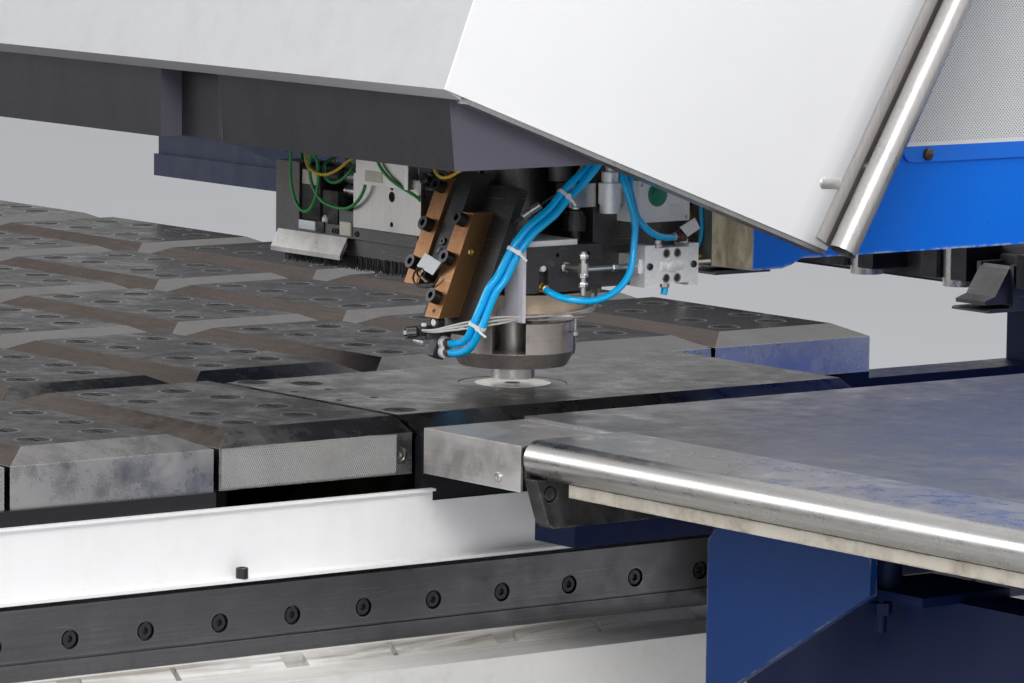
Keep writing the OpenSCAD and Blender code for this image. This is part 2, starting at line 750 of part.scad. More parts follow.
module flap_inserts() color(steel) {
    translate([pad_left, flap_front, pad_under]) inserts(pad_spots);
}

module ram_spindle() color(steel) {
    translate([0, 0, cup_top + 4]) cylinder(d = spindle_d, h = 300);
}

module punch_tool() color(steel) {
    shank_z = cup_z + 10;
    translate([0, 0, table_z + 11]) cylinder(d = tip_d, h = shank_z - table_z - 10);
    difference() {
        translate([0, 0, shank_z]) cylinder(d = punch_d, h = cup_top + 4 - seat - shank_z);
        for (z = [shank_z + 6, shank_z + 11])
            translate([0, 0, z]) rotate_extrude() translate([punch_d / 2 - 1.5, 0]) square(2.5);
    }
}

module stripper_cup() color(steel) {
    r = cup_d / 2;
    difference() {
        translate([0, 0, cup_z])
            rotate_extrude($fn = 96) polygon([[stripper_d / 2 + seat, 0], [r - 12, 0], [r, 20],
            [r, cup_h - 2], [r - 2, cup_h], [neck_d / 2, cup_h], [neck_d / 2, cup_h + 60],
            [neck_bore / 2, cup_h + 60],
            [neck_bore / 2, cup_floor], [stripper_d / 2 + seat, cup_floor]]);
        rotate([0, 0, window_turn]) {
            translate([0, -window_w / 2, cup_z + 20.6]) cube([cup_d, window_w, cup_h - 22.6]);
            translate([neck_d / 2 + 1, -window_w / 2, cup_z + 20.6]) cube([cup_d, window_w, cup_h]);
        }
    }
}

module stripper_tube() color("#c8c8c8") {
    z0 = table_z + 7;
    z1 = cup_z + cup_floor - 1;
    difference() {
        translate([0, 0, z0]) cylinder(d = stripper_d, h = z1 - z0);
        translate([0, 0, z0 - 1]) cylinder(d = tip_d + 4, h = 10);
        translate([0, 0, z0 + 5]) cylinder(d = punch_d + 4, h = z1 - z0);
    }
}

module rotation_ring() color("#b3a184") {
    difference() {
        union() {
            translate([0, 0, ring_z]) cylinder(d = ring_d, h = ring_h, $fn = 96);
            translate([0, 0, ring_z + ring_h - 1])
                cylinder(d = neck_d + 30, h = block_z - ring_z - ring_h + 1 - seat);
        }
        translate([0, 0, ring_z - 1]) cylinder(d = neck_d + 2 * turn_gap, h = ring_h + 20);
    }
}

module die_holder() color(dark_steel) {
    difference() {
        translate([0, 0, die_z]) cylinder(d = die_holder_d, h = table_z - die_z - 0.5);
        translate([0, 0, table_z - 30]) cylinder(d = 100, h = 40);
        translate([0, 0, die_z - 1]) cylinder(d = 60, h = 300);
    }
}

module die_insert() color(steel) {
    difference() {
        translate([0, 0, table_z - 30 + seat]) cylinder(d = 100 - 2 * seat, h = 30 - seat);
        translate([0, 0, table_z - 40]) cylinder(d = tip_d + 2 * die_clearance, h = 50);
    }
}

module right_table() color("#5a5a60") {
    box(table_in, table_reach, strip_back + seat, table_back, deck_z, deck_z + deck_t);
}

module edge_tube() color(steel) {
    y = -table_front + edge_tube_d / 2;
    wall = 4;
    translate([nose_x, y, edge_z + edge_tube_d / 2]) rotate([0, 90, 0]) difference() {
        cylinder(d = edge_tube_d, h = table_reach - nose_x);
        translate([0, 0, 6]) cylinder(d = edge_tube_d - 2 * wall, h = table_reach);
    }
    box(nose_x, table_reach, y, strip_back, nose_top - wall + 0.5, nose_top);
    box(nose_x, table_reach, edge_y - wall, strip_back, deck_z, nose_top - 1);
}

module edge_flange() color("#c9bda4") {
    box(flange_x, table_reach, -table_front + 18, bracket_y - seat, edge_z - flange_h, edge_z - seat);
}

module ramp_plate() color(steel) {
    box(table_in, ramp_right, -table_front, -table_front + 3, ramp_low, ramp_top);
    box(table_in, ramp_right, -table_front, strip_back, deck_z, ramp_top);
}

module edge_bracket() color(black) {
    x0 = ramp_right + seat;
    y0 = -table_front + 5;
    y1 = -60;
    low = 826;
    difference() {
        prism_x(x0, x0 + 25, [[y0 + 18, low + 6], [y0 + 26, low], [y1, low], [y1, deck_z - seat],
            [edge_y + seat, deck_z - seat], [edge_y + seat, edge_z - seat], [y0, edge_z - seat]]);
        translate([x0 + 17, -316, 868]) rotate([0, 90, 0]) cylinder(d = 21, h = 10);
    }
    translate([x0 + 16, -316, 868]) rotate([0, 90, 0]) cylinder(d = 15, h = 7);
    box(x0, nose_x - seat, y0, edge_y - seat, edge_z - 1, ramp_top - 2);
}

module support_bracket() color(blue) {
    top = edge_z - flange_h - seat;
    right = bracket_x + 291;
    translate([0, bracket_y, 0]) rotate([90, 0, 0]) linear_extrude(10)
        polygon([[bracket_x, frame_low], [bracket_x, top - 37], [bracket_x + 37, top], [right, top],
            [right, top - 64],
            [bracket_x + 7, frame_low]]);
}

module table_frames() color(navy) {
    x1 = table_reach - 60;
    frame_top_z = frame_z + frame_h;
    for (s = [-1, 1]) scale([s, 1, 1]) {
        box(frame_in, frame_in + beam_t, s > 0 ? -200 : left_front - 30, rail_front + beam_w, frame_z,
            frame_top_z);
        box(frame_in, frame_in + beam_t, rail_front + 35, rail_front + beam_w - 5, frame_top_z - 1,
            beam_z - seat);
    }
    for (j = [0 : left_rows]) translate([-x1, left_front - pad_gap / 2 - 30 + j * row_pitch, frame_z])
        cube([x1 - frame_in, 60, pad_under - seat - frame_z]);
    for (y = [60, 410, 760]) box(frame_in, x1, y, y + beam_t, frame_z, deck_z - seat);
    box(foot_x0, foot_x1, bracket_y + seat, 61, frame_z, deck_z - seat);
    box(flange_x - 20, x1, edge_y + seat, bracket_y - seat, edge_z, deck_z - seat);
    box(foot_x0, foot_x1, bracket_y - seat - 1, bracket_y + seat + 1, edge_z, deck_z - seat);
    box(foot_x0 - 60, x1, -120, -40, frame_low, frame_z + 10);
    box(bolt_at[0] - 36, bolt_at[0] + 100, -175, -41, frame_z + 10 - 1, frame_z + 20);
    translate([bolt_at[0] + 10, bolt_at[1], frame_z + 19]) cylinder(d = 34, h = 66);
    translate([bolt_at[0], bolt_at[1], frame_z - 35]) cylinder(d = 14, h = 46);
    translate([bolt_at[0], bolt_at[1], frame_z - 14]) cylinder(d = 27, h = 14, $fn = 6);
}

module left_pads() color(steel) {
    for (i = [1 : left_cols], j = [0 : left_rows - 1])
        translate([pads_right - i * col_pitch + pad_gap, left_front + j * row_pitch, pad_under])
            pad(pad_l, pad_w, pad_spots);
}

module left_inserts() color(steel) {
    for (i = [1 : left_cols], j = [0 : left_rows - 1])
        translate([pads_right - i * col_pitch + pad_gap, left_front + j * row_pitch, pad_under])
            if (i == 1) inserts(pad_spots);
            else for (p = pad_spots)
                translate([p[0], p[1], pad_h - insert_t + seat / 2])
                    cylinder(d = insert_d - 2 * seat, h = insert_t - 1);
}

module cross_rail() color(navy) {
    difference() {
        box(-table_reach, table_reach, rail_front + 30, rail_front + beam_w, beam_z, beam_z + beam_h);
        box(-table_reach - 1, table_reach + 1, rail_front + 29, rail_front + 40, beam_z + 40,
            beam_z + beam_h - 40);
    }
}

module rail_carriages() color(dark_steel) {
    for (s = [-1, 1], y = carriage_rows) scale([s, 1, 1])
        box(rail_x + fit_gap, table_in + 100, y, y + carriage_l, rail_z, frame_z - seat);
}

module x_carriage() color(steel) {
    y0 = rail_front - clamp_reach;
    box(-carriage_half, carriage_half, rail_front, rail_front + 30 - fit_gap, beam_z + 8,
        beam_z + beam_h - 10);
    for (x = clamp_x) translate([x, 0, 0]) {
        prism_x(-clamp_half, clamp_half, [[y0, lower_jaw_z], [rail_front + 1, lower_jaw_z],
            [rail_front + 1, beam_z + 60], [rail_front - 16, beam_z + 60],
            [rail_front - 16, lower_jaw_z + jaw_t + 2],
            [rail_front - 20, lower_jaw_z + jaw_t], [y0 + 4, lower_jaw_z + jaw_t],
            [y0, lower_jaw_z + jaw_t - 2]]);
        for (s = [-1, 1]) scale([s, 1, 1])
            box(clamp_half - 8, clamp_half, jaw_axis_y - 12, rail_front - 15, lower_jaw_z + jaw_t - 1,
                jaw_axis_z + 14);
        translate([-clamp_half + 4, jaw_axis_y, jaw_axis_z])
            rotate([0, 90, 0]) cylinder(d = jaw_pin_d, h = 2 * clamp_half - 8);
    }
}

module tool_cassettes() color(black) {
    for (k = [0 : cassette_n - 1])
        translate([(k - (cassette_n - 1) / 2) * cassette_pitch, 0, 0]) difference() {
        box(-50, 50, rail_front - 70, rail_front - seat, beam_z + 20, beam_z + 70);
        translate([0, rail_front - 38, beam_z + 19]) cylinder(d = tool_d + 2 * seat, h = 60);
        box(-16, 16, rail_front - 71, rail_front - 50, beam_z + 19, beam_z + 71);
    }
}

module cassette_tools() color(steel) {
    for (k = [0 : cassette_n - 1])
        translate([(k - (cassette_n - 1) / 2) * cassette_pitch, rail_front - 38, beam_z + 8]) {
        cylinder(d = tool_d, h = 76);
        translate([0, 0, 75]) cylinder(d = 24, h = 12);
    }
}

module clamp_jaws() color(steel) {
    z0 = lower_jaw_z + jaw_t + mouth;
    y0 = rail_front - clamp_reach;
    w = clamp_half - 8 - fit_gap;
    for (x = clamp_x) difference() {
        prism_x(x - w, x + w, [[y0, z0], [jaw_axis_y + 10, z0], [jaw_axis_y + 10, jaw_axis_z + 6],
            [jaw_axis_y - 6, jaw_axis_z + 12], [jaw_axis_y - 14, jaw_axis_z + 8], [y0 + 20, z0 + 12],
            [y0, z0 + 6]]);
        translate([x - clamp_half, jaw_axis_y, jaw_axis_z]) rotate([0, 90, 0])
            cylinder(d = jaw_pin_d + 2 * fit_gap, h = 2 * clamp_half);
    }
}

base_frame();
levelling_feet();
bed_panel();
y_rails();
c_frame();
hood_shell();
hood_side_panel();
hood_trim();
guard_tube();
skirt_left();
skirt_centre();
grille_panel();
head_carrier();
head_block();
top_plate();
corner_plate();
ram_cylinder();
bar_carrier();
guide_bars();
cap_screws();
brush_unit();
brush_plate();
brush_bristles();
sensor_plate();
regulator_block();
valve_block();
valve_fittings();
oil_filter();
pressure_knob();
sign_plate();
hose_bundle();
valve_hoses();
control_wires();
front_pads();
pad_inserts();
centre_table();
parts_flap();
flap_inserts();
ram_spindle();
punch_tool();
stripper_cup();
stripper_tube();
rotation_ring();
die_holder();
die_insert();
right_table();
edge_tube();
edge_flange();
ramp_plate();
edge_bracket();
support_bracket();
table_frames();
left_pads();
left_inserts();
cross_rail();
rail_carriages();
x_carriage();
tool_cassettes();
cassette_tools();
clamp_jaws();
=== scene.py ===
"""Looks for the CNC punching machine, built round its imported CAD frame."""
import math
import random

import bmesh
import bpy
from mathutils import Matrix, Vector


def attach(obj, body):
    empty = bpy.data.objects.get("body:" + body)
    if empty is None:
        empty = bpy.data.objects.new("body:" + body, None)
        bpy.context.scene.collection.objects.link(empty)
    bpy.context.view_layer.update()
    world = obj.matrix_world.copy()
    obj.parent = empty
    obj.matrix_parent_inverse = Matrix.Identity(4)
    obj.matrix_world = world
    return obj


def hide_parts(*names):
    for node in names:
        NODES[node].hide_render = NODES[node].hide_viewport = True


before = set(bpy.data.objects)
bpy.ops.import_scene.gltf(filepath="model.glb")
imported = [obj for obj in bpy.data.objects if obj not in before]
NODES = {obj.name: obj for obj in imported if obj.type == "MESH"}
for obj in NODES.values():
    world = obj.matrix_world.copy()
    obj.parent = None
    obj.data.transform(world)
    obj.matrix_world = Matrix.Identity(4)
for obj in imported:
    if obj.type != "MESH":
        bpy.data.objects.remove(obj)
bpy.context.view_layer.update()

MM = 0.001
rnd = random.Random(7)

# The guard tube's middle line: its foot in Y and Z, in mm, and the way it leans
GUARD_FOOT = (256, 1118)
GUARD_LEAN = (0.512, 0.859)
# The faces of a plate given as four corners, then the same four on its other side
PLATE_FACES = [(3, 2, 1, 0), (4, 5, 6, 7), (0, 1, 5, 4), (1, 2, 6, 5), (2, 3, 7, 6), (3, 0, 4, 7)]
EDGE = 0.8                       # chamfer of rods and screw heads, mm
SHARP = math.radians(38)         # edges above this angle stay sharp


# ---------------------------------------------------------------- materials
class Look:
    """A Principled material and short calls for its nodes. Lengths are in metres."""

    def __init__(self, name, rough=0.5, metal=0.0, color=(0.5, 0.5, 0.5)):
        self.mat = bpy.data.materials.new(name)
        self.mat.use_nodes = True
        self.tree = self.mat.node_tree
        self.bsdf = self.tree.nodes["Principled BSDF"]
        self.set("Roughness", rough)
        self.set("Metallic", metal)
        self.set("Base Color", color)
        self.co = self.node("ShaderNodeTexCoord").outputs["Object"]
        self.normal = None

    def node(self, kind, **props):
        made = self.tree.nodes.new(kind)
        for key, value in props.items():
            setattr(made, key, value)
        return made

    def put(self, socket, value):
        if isinstance(value, bpy.types.NodeSocket):
            self.tree.links.new(value, socket)
        elif hasattr(socket.default_value, "__len__"):
            n = len(socket.default_value)
            if not hasattr(value, "__len__"):
                value = (value,) * 3
            socket.default_value = (tuple(value) + (1.0,))[:n]
        else:
            socket.default_value = value

    def set(self, name, value):
        self.put(self.bsdf.inputs[name], value)

    def noise(self, scale, detail=4.0, rough=0.5, stretch=None, distort=0.0):
        """Noise of scale cells per metre; stretch below 1 draws it out along that axis."""
        place = self.co
        if stretch:
            mapping = self.node("ShaderNodeMapping")
            mapping.inputs["Scale"].default_value = stretch
            self.tree.links.new(place, mapping.inputs["Vector"])
            place = mapping.outputs[0]
        tex = self.node("ShaderNodeTexNoise")
        self.tree.links.new(place, tex.inputs["Vector"])
        tex.inputs["Scale"].default_value = scale
        tex.inputs["Detail"].default_value = detail
        tex.inputs["Roughness"].default_value = rough
        tex.inputs["Distortion"].default_value = distort
        return tex.outputs[0]

    def cells(self, scale):
        tex = self.node("ShaderNodeTexVoronoi", feature="F1")
        self.tree.links.new(self.co, tex.inputs["Vector"])
        tex.inputs["Scale"].default_value = scale
        return tex.outputs["Distance"]

    def ramp(self, fac, *stops):
        """A colour ramp from (position, grey or colour) pairs."""
        r = self.node("ShaderNodeValToRGB")
        self.tree.links.new(fac, r.inputs[0])
        els = r.color_ramp.elements
        while len(els) < len(stops):
            els.new(0.5)
        for e, (pos, c) in zip(els, stops):
            e.position = pos
            e.color = (tuple(c) if hasattr(c, "__len__") else (c, c, c)) + (1.0,)
        return r.outputs[0]

    def math(self, op, a, b=0.0, clamp=False):
        m = self.node("ShaderNodeMath", operation=op, use_clamp=clamp)
        self.put(m.inputs[0], a)
        self.put(m.inputs[1], b)
        return m.outputs[0]

    def mix(self, fac, a, b, mode="MIX"):
        m = self.node("ShaderNodeMix", data_type="RGBA", blend_type=mode)
        self.put(m.inputs[0], fac)
        self.put(m.inputs[6], a)
        self.put(m.inputs[7], b)
        return m.outputs[2]

    def axis(self, i):
        s = self.node("ShaderNodeSeparateXYZ")
        self.tree.links.new(self.co, s.inputs[0])
        return s.outputs[i]

    def facing(self, i):
        """The surface normal's part along an axis."""
        g = self.node("ShaderNodeNewGeometry")
        s = self.node("ShaderNodeSeparateXYZ")
        self.tree.links.new(g.outputs["Normal"], s.inputs[0])
        return s.outputs[i]

    def edges(self, radius, lo=0.02, hi=0.14):
        """1 along sharp edges, 0 on flat faces."""
        bev = self.node("ShaderNodeBevel", samples=4)
        bev.inputs["Radius"].default_value = radius
        geo = self.node("ShaderNodeNewGeometry")
        dot = self.node("ShaderNodeVectorMath", operation="DOT_PRODUCT")
        self.tree.links.new(bev.outputs[0], dot.inputs[0])
        self.tree.links.new(geo.outputs["Normal"], dot.inputs[1])
        return self.ramp(self.math("SUBTRACT", 1.0, dot.outputs["Value"]), (lo, 0.0), (hi, 1.0))

    def bump(self, height, strength=0.3, dist=0.001):
        b = self.node("ShaderNodeBump")
        b.inputs["Strength"].default_value = strength
        b.inputs["Distance"].default_value = dist
        self.tree.links.new(height, b.inputs["Height"])
        if self.normal:
            self.tree.links.new(self.normal, b.inputs["Normal"])
        self.normal = b.outputs[0]
        self.tree.links.new(self.normal, self.bsdf.inputs["Normal"])

    def close(self, color, rough=None):
        self.set("Base Color", color)
        if rough is not None:
            self.set("Roughness", rough)
        return self.mat


def paint(name, color, rough=0.38, dirt=0.25, chips=0.0, grain=0.15, soil=(0.30, 0.26, 0.21), texture=0.0,
          shine=0.45, side=None):
    """Sheet or casting paint with orange peel, soiling and, if wanted, chipped edges.

    Faces to +X may take a painted light of their own, a lighter colour given as side.
    """
    g = Look(name, rough)
    g.set("Specular IOR Level", shine)
    big = g.noise(3.1, 5, 0.6)
    fine = g.noise(38, 6, 0.65)
    streak = g.noise(6, 4, 0.6, stretch=(3, 3, 0.35))
    c = g.mix(g.ramp(big, (0.3, 0.0), (0.75, 1.0)), color, tuple(x * 0.93 for x in color))
    # Painted light: faces to +X take the side colour
    if side:
        c = g.mix(g.math("GREATER_THAN", g.facing(0), 0.25), c, side)
    soiled = g.math("MULTIPLY", g.ramp(g.math("MULTIPLY", streak, fine), (0.20, 0.0), (0.42, 1.0)), dirt)
    c = g.mix(soiled, c, soil)
    specks = g.ramp(g.cells(170), (0.03, 1.0), (0.06, 0.0))
    c = g.mix(g.math("MULTIPLY", specks, dirt), c, soil)
    if chips:
        worn = g.math("MULTIPLY", g.edges(0.004),
                      g.ramp(g.noise(45, 5, 0.7), (0.5 - 0.12 * chips, 0.0), (0.56, 1.0)))
        c = g.mix(worn, c, (0.16, 0.15, 0.14))
    g.bump(g.noise(900, 2), grain, 0.0004)
    if texture:
        g.bump(g.noise(420, 3, 0.6), texture, 0.0012)
    return g.close(c, g.ramp(fine, (0.3, rough - 0.06), (0.8, rough + 0.16)))


def panel_paint():
    """White side panel with a painted shade beside the guard tube, where the sheet bends."""
    g = Look("white_side_panel", 0.34)
    g.set("Specular IOR Level", 0.45)
    c = g.mix(g.ramp(g.noise(3.1, 5, 0.6), (0.3, 0.0), (0.75, 1.0)), (0.97, 0.97, 0.98), (0.93, 0.93, 0.94))
    foot_y, foot_z = (v * MM for v in GUARD_FOOT)
    lean_y, lean_z = GUARD_LEAN
    back = g.math("MULTIPLY", g.math("SUBTRACT", g.axis(1), foot_y), -lean_z)
    away = g.math("ADD", back, g.math("MULTIPLY", g.math("SUBTRACT", g.axis(2), foot_z), lean_y))
    # The shade's stops are distances from the tube's middle line in tenths of a metre
    shade = g.ramp(g.math("MULTIPLY", away, 10.0), (0.20, 1.0), (0.36, 0.75), (0.52, 0.22), (0.72, 0.0))
    # Painted shade: grey mixed into the white near the tube's strip
    c = g.mix(g.math("MULTIPLY", shade, 0.75), c, (0.30, 0.305, 0.33))
    g.bump(g.noise(900, 2), 0.12, 0.0004)
    return g.close(c, g.ramp(g.noise(38, 6, 0.65), (0.3, 0.30), (0.8, 0.46)))


def base_paint():
    """Cream paint of the base: oily streaks along the rail ledges, and painted shade, near black, above the
    bed's top.
    """
    ledge_x, ledge_low, ledge_top, bed_top = 0.283, 0.640, 0.663, 0.755
    g = Look("white_base", 0.5)
    g.set("Specular IOR Level", 0.4)
    c = g.mix(g.ramp(g.noise(3.1, 5, 0.6), (0.3, 0.0), (0.75, 1.0)),
              (0.76, 0.745, 0.72), (0.66, 0.645, 0.62))
    soiled = g.math("MULTIPLY", g.ramp(g.noise(24, 6, 0.65), (0.5, 0.0), (0.8, 1.0)), 0.35)
    c = g.mix(soiled, c, (0.36, 0.31, 0.25))
    streak = g.noise(30, 5, 0.65, stretch=(1.0, 0.06, 1.0), distort=0.5)
    out = g.math("ABSOLUTE", g.axis(0))
    near = g.math("MULTIPLY",
                  g.math("SUBTRACT", g.math("ADD", out, g.math("MULTIPLY", streak, 0.02)), ledge_x), 60.0)
    band = g.math("SUBTRACT", 1.0, g.math("ABSOLUTE", near), clamp=True)
    on_ledge = g.math("MULTIPLY", g.math("LESS_THAN", g.axis(2), ledge_top),
                      g.math("GREATER_THAN", g.axis(2), ledge_low))
    oily = g.math("MULTIPLY", g.math("MULTIPLY", band, on_ledge), g.ramp(streak, (0.40, 0.0), (0.56, 1.0)))
    c = g.mix(g.math("MULTIPLY", oily, 0.85), c, (0.085, 0.062, 0.035))
    film = g.math("MULTIPLY", on_ledge, g.ramp(streak, (0.50, 0.0), (0.75, 1.0)))
    c = g.mix(g.math("MULTIPLY", film, 0.45), c, (0.30, 0.26, 0.20))
    # Painted shade: above the bed's top the base is nearly black, for the shadowed gap under the pads
    c = g.mix(g.math("GREATER_THAN", g.axis(2), bed_top), c, (0.010, 0.010, 0.013))
    g.bump(g.noise(900, 2), 0.15, 0.0004)
    return g.close(c, g.ramp(streak, (0.3, 0.36), (0.7, 0.58)))


def steel(name, color, rough=0.34, along=0, stain=0.35, scratch=0.35, dark=(0.16, 0.14, 0.12),
          metal=1.0, worn=0.5, lines=260.0, wave=1.0, side=None, tint=1.0):
    """Brushed or ground steel. The grain runs along one axis: 0 X, 1 Y, 2 Z, 3 none.

    Faces to +X may take a painted shade of their own, a darker colour given as side.
    """
    g = Look(name, rough, metal)
    g.set("Specular Tint", (tint, tint, tint))
    stretch = [1.0, 1.0, 1.0]
    if along < 3:
        stretch[along] = 0.02
    brushed = g.noise(lines, 4, 0.6, stretch=tuple(stretch))
    cloud = g.noise(7, 6, 0.62, distort=0.4)
    blotch = g.noise(23, 5, 0.7)
    c = g.mix(g.ramp(brushed, (0.25, 0.0), (0.75, 1.0)), tuple(x * 0.86 for x in color),
              tuple(min(1, x * 1.08) for x in color))
    c = g.mix(g.math("MULTIPLY", g.ramp(cloud, (0.42, 0.0), (0.72, 1.0)), stain), c, dark)
    c = g.mix(g.math("MULTIPLY", g.ramp(blotch, (0.56, 0.0), (0.74, 1.0)), stain * 0.8), c,
              tuple(x * 1.4 for x in dark))
    if scratch:
        long = g.noise(90, 2, 0.5, stretch=(0.15, 6, 6))
        cross = g.noise(90, 2, 0.5, stretch=(6, 0.15, 6))
        marks = g.math("MAXIMUM", g.ramp(long, (0.68, 0.0), (0.70, 1.0)),
                       g.ramp(cross, (0.69, 0.0), (0.71, 1.0)))
        c = g.mix(g.math("MULTIPLY", marks, scratch), c, (0.78, 0.77, 0.75))
    # Painted shade: faces to +X take the darker side colour
    if side:
        c = g.mix(g.math("GREATER_THAN", g.facing(0), 0.5), c,
                  g.mix(blotch, side, tuple(x * 1.6 for x in side)))
    if worn:
        c = g.mix(g.math("MULTIPLY", g.edges(0.003), worn), c, tuple(min(1, x * 1.45) for x in color))
    g.bump(brushed, 0.12, 0.0006)
    if wave:
        g.bump(cloud, 0.05 * wave, 0.004)
    return g.close(c, g.ramp(blotch, (0.3, rough - 0.07), (0.75, rough + 0.16)))


def plastic(name, color, rough=0.4, dust=0.15):
    g = Look(name, rough)
    c = g.mix(g.math("MULTIPLY", g.ramp(g.noise(60, 5, 0.7), (0.5, 0.0), (0.75, 1.0)), dust),
              color, (0.42, 0.40, 0.37))
    g.bump(g.noise(700, 2), 0.1, 0.0003)
    return g.close(c, g.ramp(g.noise(35), (0.3, rough - 0.05), (0.8, rough + 0.12)))


def blue_frame():
    """Bright blue paint that ends at a stained bare-metal nose."""
    paint_end = 0.2745
    g = Look("blue_frame", 0.36)
    g.set("Specular IOR Level", 0.25)
    fine = g.noise(40, 6, 0.65)
    c = g.mix(g.ramp(g.noise(2.5, 4), (0.3, 0.0), (0.7, 1.0)), (0.0, 0.21, 1.0), (0.0, 0.18, 0.92))
    c = g.mix(g.math("MULTIPLY", g.ramp(g.noise(9, 5, 0.7, stretch=(2, 2, 0.4)), (0.55, 0.0), (0.8, 1.0)),
                     0.12), c, (0.10, 0.16, 0.30))
    worn = g.math("MULTIPLY", g.edges(0.006), g.ramp(g.noise(34, 5, 0.75), (0.44, 0.0), (0.52, 1.0)))
    c = g.mix(worn, c, (0.72, 0.73, 0.76))
    ragged = g.math("ADD", g.axis(1), g.math("MULTIPLY", g.noise(30, 5, 0.7), 0.006))
    bare = g.ramp(g.math("MULTIPLY", g.math("SUBTRACT", paint_end, ragged), 400.0), (0.0, 0.0), (1.0, 1.0))
    rust = g.noise(26, 7, 0.7, stretch=(1, 1, 0.5), distort=0.8)
    metal = g.ramp(rust, (0.30, (0.19, 0.15, 0.10)), (0.48, (0.34, 0.29, 0.20)), (0.62, (0.50, 0.45, 0.34)),
                   (0.8, (0.26, 0.22, 0.16)))
    c = g.mix(bare, c, metal)
    g.set("Metallic", g.math("MULTIPLY", bare, 0.75))
    g.bump(g.noise(700, 2), 0.12, 0.0005)
    g.bump(rust, 0.08, 0.002)
    return g.close(c, g.mix(bare, g.ramp(fine, (0.3, 0.26), (0.8, 0.42)), 0.45))


def perforated():
    """White perforated sheet over a blue strip."""
    g = Look("perforated_white", 0.45)
    pitch, holes_from, strip_to = 0.0050, 1.2335, 1.2285
    y, z = g.axis(1), g.axis(2)
    u = g.math("SUBTRACT", g.math("FRACT", g.math("DIVIDE", g.math("ADD", y, z), pitch)), 0.5)
    v = g.math("SUBTRACT", g.math("FRACT", g.math("DIVIDE", g.math("SUBTRACT", y, z), pitch)), 0.5)
    r = g.math("SQRT", g.math("ADD", g.math("MULTIPLY", u, u), g.math("MULTIPLY", v, v)))
    hole = g.ramp(r, (0.24, 1.0), (0.33, 0.0))
    side = g.math("ABSOLUTE", g.facing(0))
    above = g.math("GREATER_THAN", z, holes_from)
    inside = g.math("MULTIPLY", g.math("MULTIPLY", hole, g.math("GREATER_THAN", side, 0.6)), above)
    c = g.mix(g.ramp(g.noise(8, 5, 0.7), (0.45, 0.0), (0.8, 1.0)), (0.88, 0.89, 0.90), (0.78, 0.79, 0.79))
    c = g.mix(inside, c, (0.33, 0.35, 0.38))
    strip = g.math("LESS_THAN", z, strip_to)
    c = g.mix(strip, c, g.mix(g.noise(30, 4), (0.0, 0.17, 0.85), (0.0, 0.20, 0.92)))
    g.bump(g.math("SUBTRACT", 1.0, inside), 0.5, 0.0012)
    return g.close(c, 0.42)


def pad_steel(name, top, front, side, rough=0.24):
    """Ground steel pads, coloured face by face as painted reflection and shade: dark polished tops, brown
    front bevels, darker ends and bright sides.
    """
    g = Look(name, rough, 1.0)
    g.set("Specular Tint", (0.30, 0.30, 0.31))
    ny, nx, nz = g.facing(1), g.facing(0), g.facing(2)
    brushed = g.noise(230, 4, 0.6, stretch=(0.02, 1.0, 1.0))
    cloud = g.noise(6, 6, 0.62, distort=0.5)
    blotch = g.noise(21, 5, 0.7)
    c = g.mix(g.ramp(brushed, (0.25, 0.0), (0.75, 1.0)), tuple(x * 0.84 for x in top),
              tuple(x * 1.12 for x in top))
    front_face = g.math("LESS_THAN", ny, -0.2)
    end_face = g.math("GREATER_THAN", nx, 0.2)
    wall = g.math("LESS_THAN", nz, 0.3)
    fine = g.noise(500, 3, 0.6, stretch=(0.03, 1.0, 1.0))
    # Painted reflection and shade: front bevels brown, +X ends dark, their upright sides bright
    c = g.mix(front_face, c, g.mix(fine, tuple(x * 0.7 for x in front), tuple(x * 1.25 for x in front)))
    c = g.mix(end_face, c, g.mix(wall, tuple(x * 0.42 for x in side), side))
    c = g.mix(g.math("MULTIPLY", g.ramp(cloud, (0.40, 0.0), (0.70, 1.0)), 0.22), c, (0.13, 0.115, 0.11))
    c = g.mix(g.math("MULTIPLY", g.ramp(blotch, (0.58, 0.0), (0.74, 1.0)), 0.15), c, (0.20, 0.17, 0.15))
    long = g.noise(80, 2, 0.5, stretch=(0.12, 6, 6))
    slant = g.noise(80, 2, 0.5, stretch=(6, 0.15, 6))
    marks = g.math("MAXIMUM", g.ramp(long, (0.67, 0.0), (0.70, 1.0)),
                   g.ramp(slant, (0.69, 0.0), (0.71, 1.0)))
    c = g.mix(g.math("MULTIPLY", marks, 0.18), c, (0.45, 0.44, 0.43))
    c = g.mix(g.math("MULTIPLY", g.edges(0.003), 0.6), c, (0.85, 0.84, 0.82))
    g.bump(brushed, 0.10, 0.0006)
    g.bump(cloud, 0.05, 0.004)
    return g.close(c, g.ramp(blotch, (0.3, rough - 0.06), (0.75, rough + 0.16)))


def machined(name, color, rough=0.24, rings=True, metal=1.0):
    """Turned steel: fine grooves round the vertical axis, oil stains."""
    g = Look(name, rough, metal)
    turned = g.noise(900, 3, 0.5, stretch=(0.02, 0.02, 1.0)) if rings else g.noise(420, 3,
                                                                                   0.5,
                                                                                   stretch=(1, 1, 0.05))
    cloud = g.noise(14, 6, 0.65, distort=0.6)
    c = g.mix(g.ramp(turned, (0.3, 0.0), (0.7, 1.0)), tuple(x * 0.88 for x in color), color)
    c = g.mix(g.math("MULTIPLY", g.ramp(cloud, (0.45, 0.0), (0.72, 1.0)), 0.45), c, (0.30, 0.25, 0.20))
    c = g.mix(g.math("MULTIPLY", g.ramp(g.noise(70, 5, 0.7), (0.60, 0.0), (0.72, 1.0)), 0.35), c,
              (0.14, 0.12, 0.10))
    c = g.mix(g.math("MULTIPLY", g.edges(0.002), 0.5), c, (0.9, 0.89, 0.87))
    g.bump(turned, 0.08, 0.0004)
    return g.close(c, g.ramp(cloud, (0.3, rough - 0.06), (0.8, rough + 0.16)))
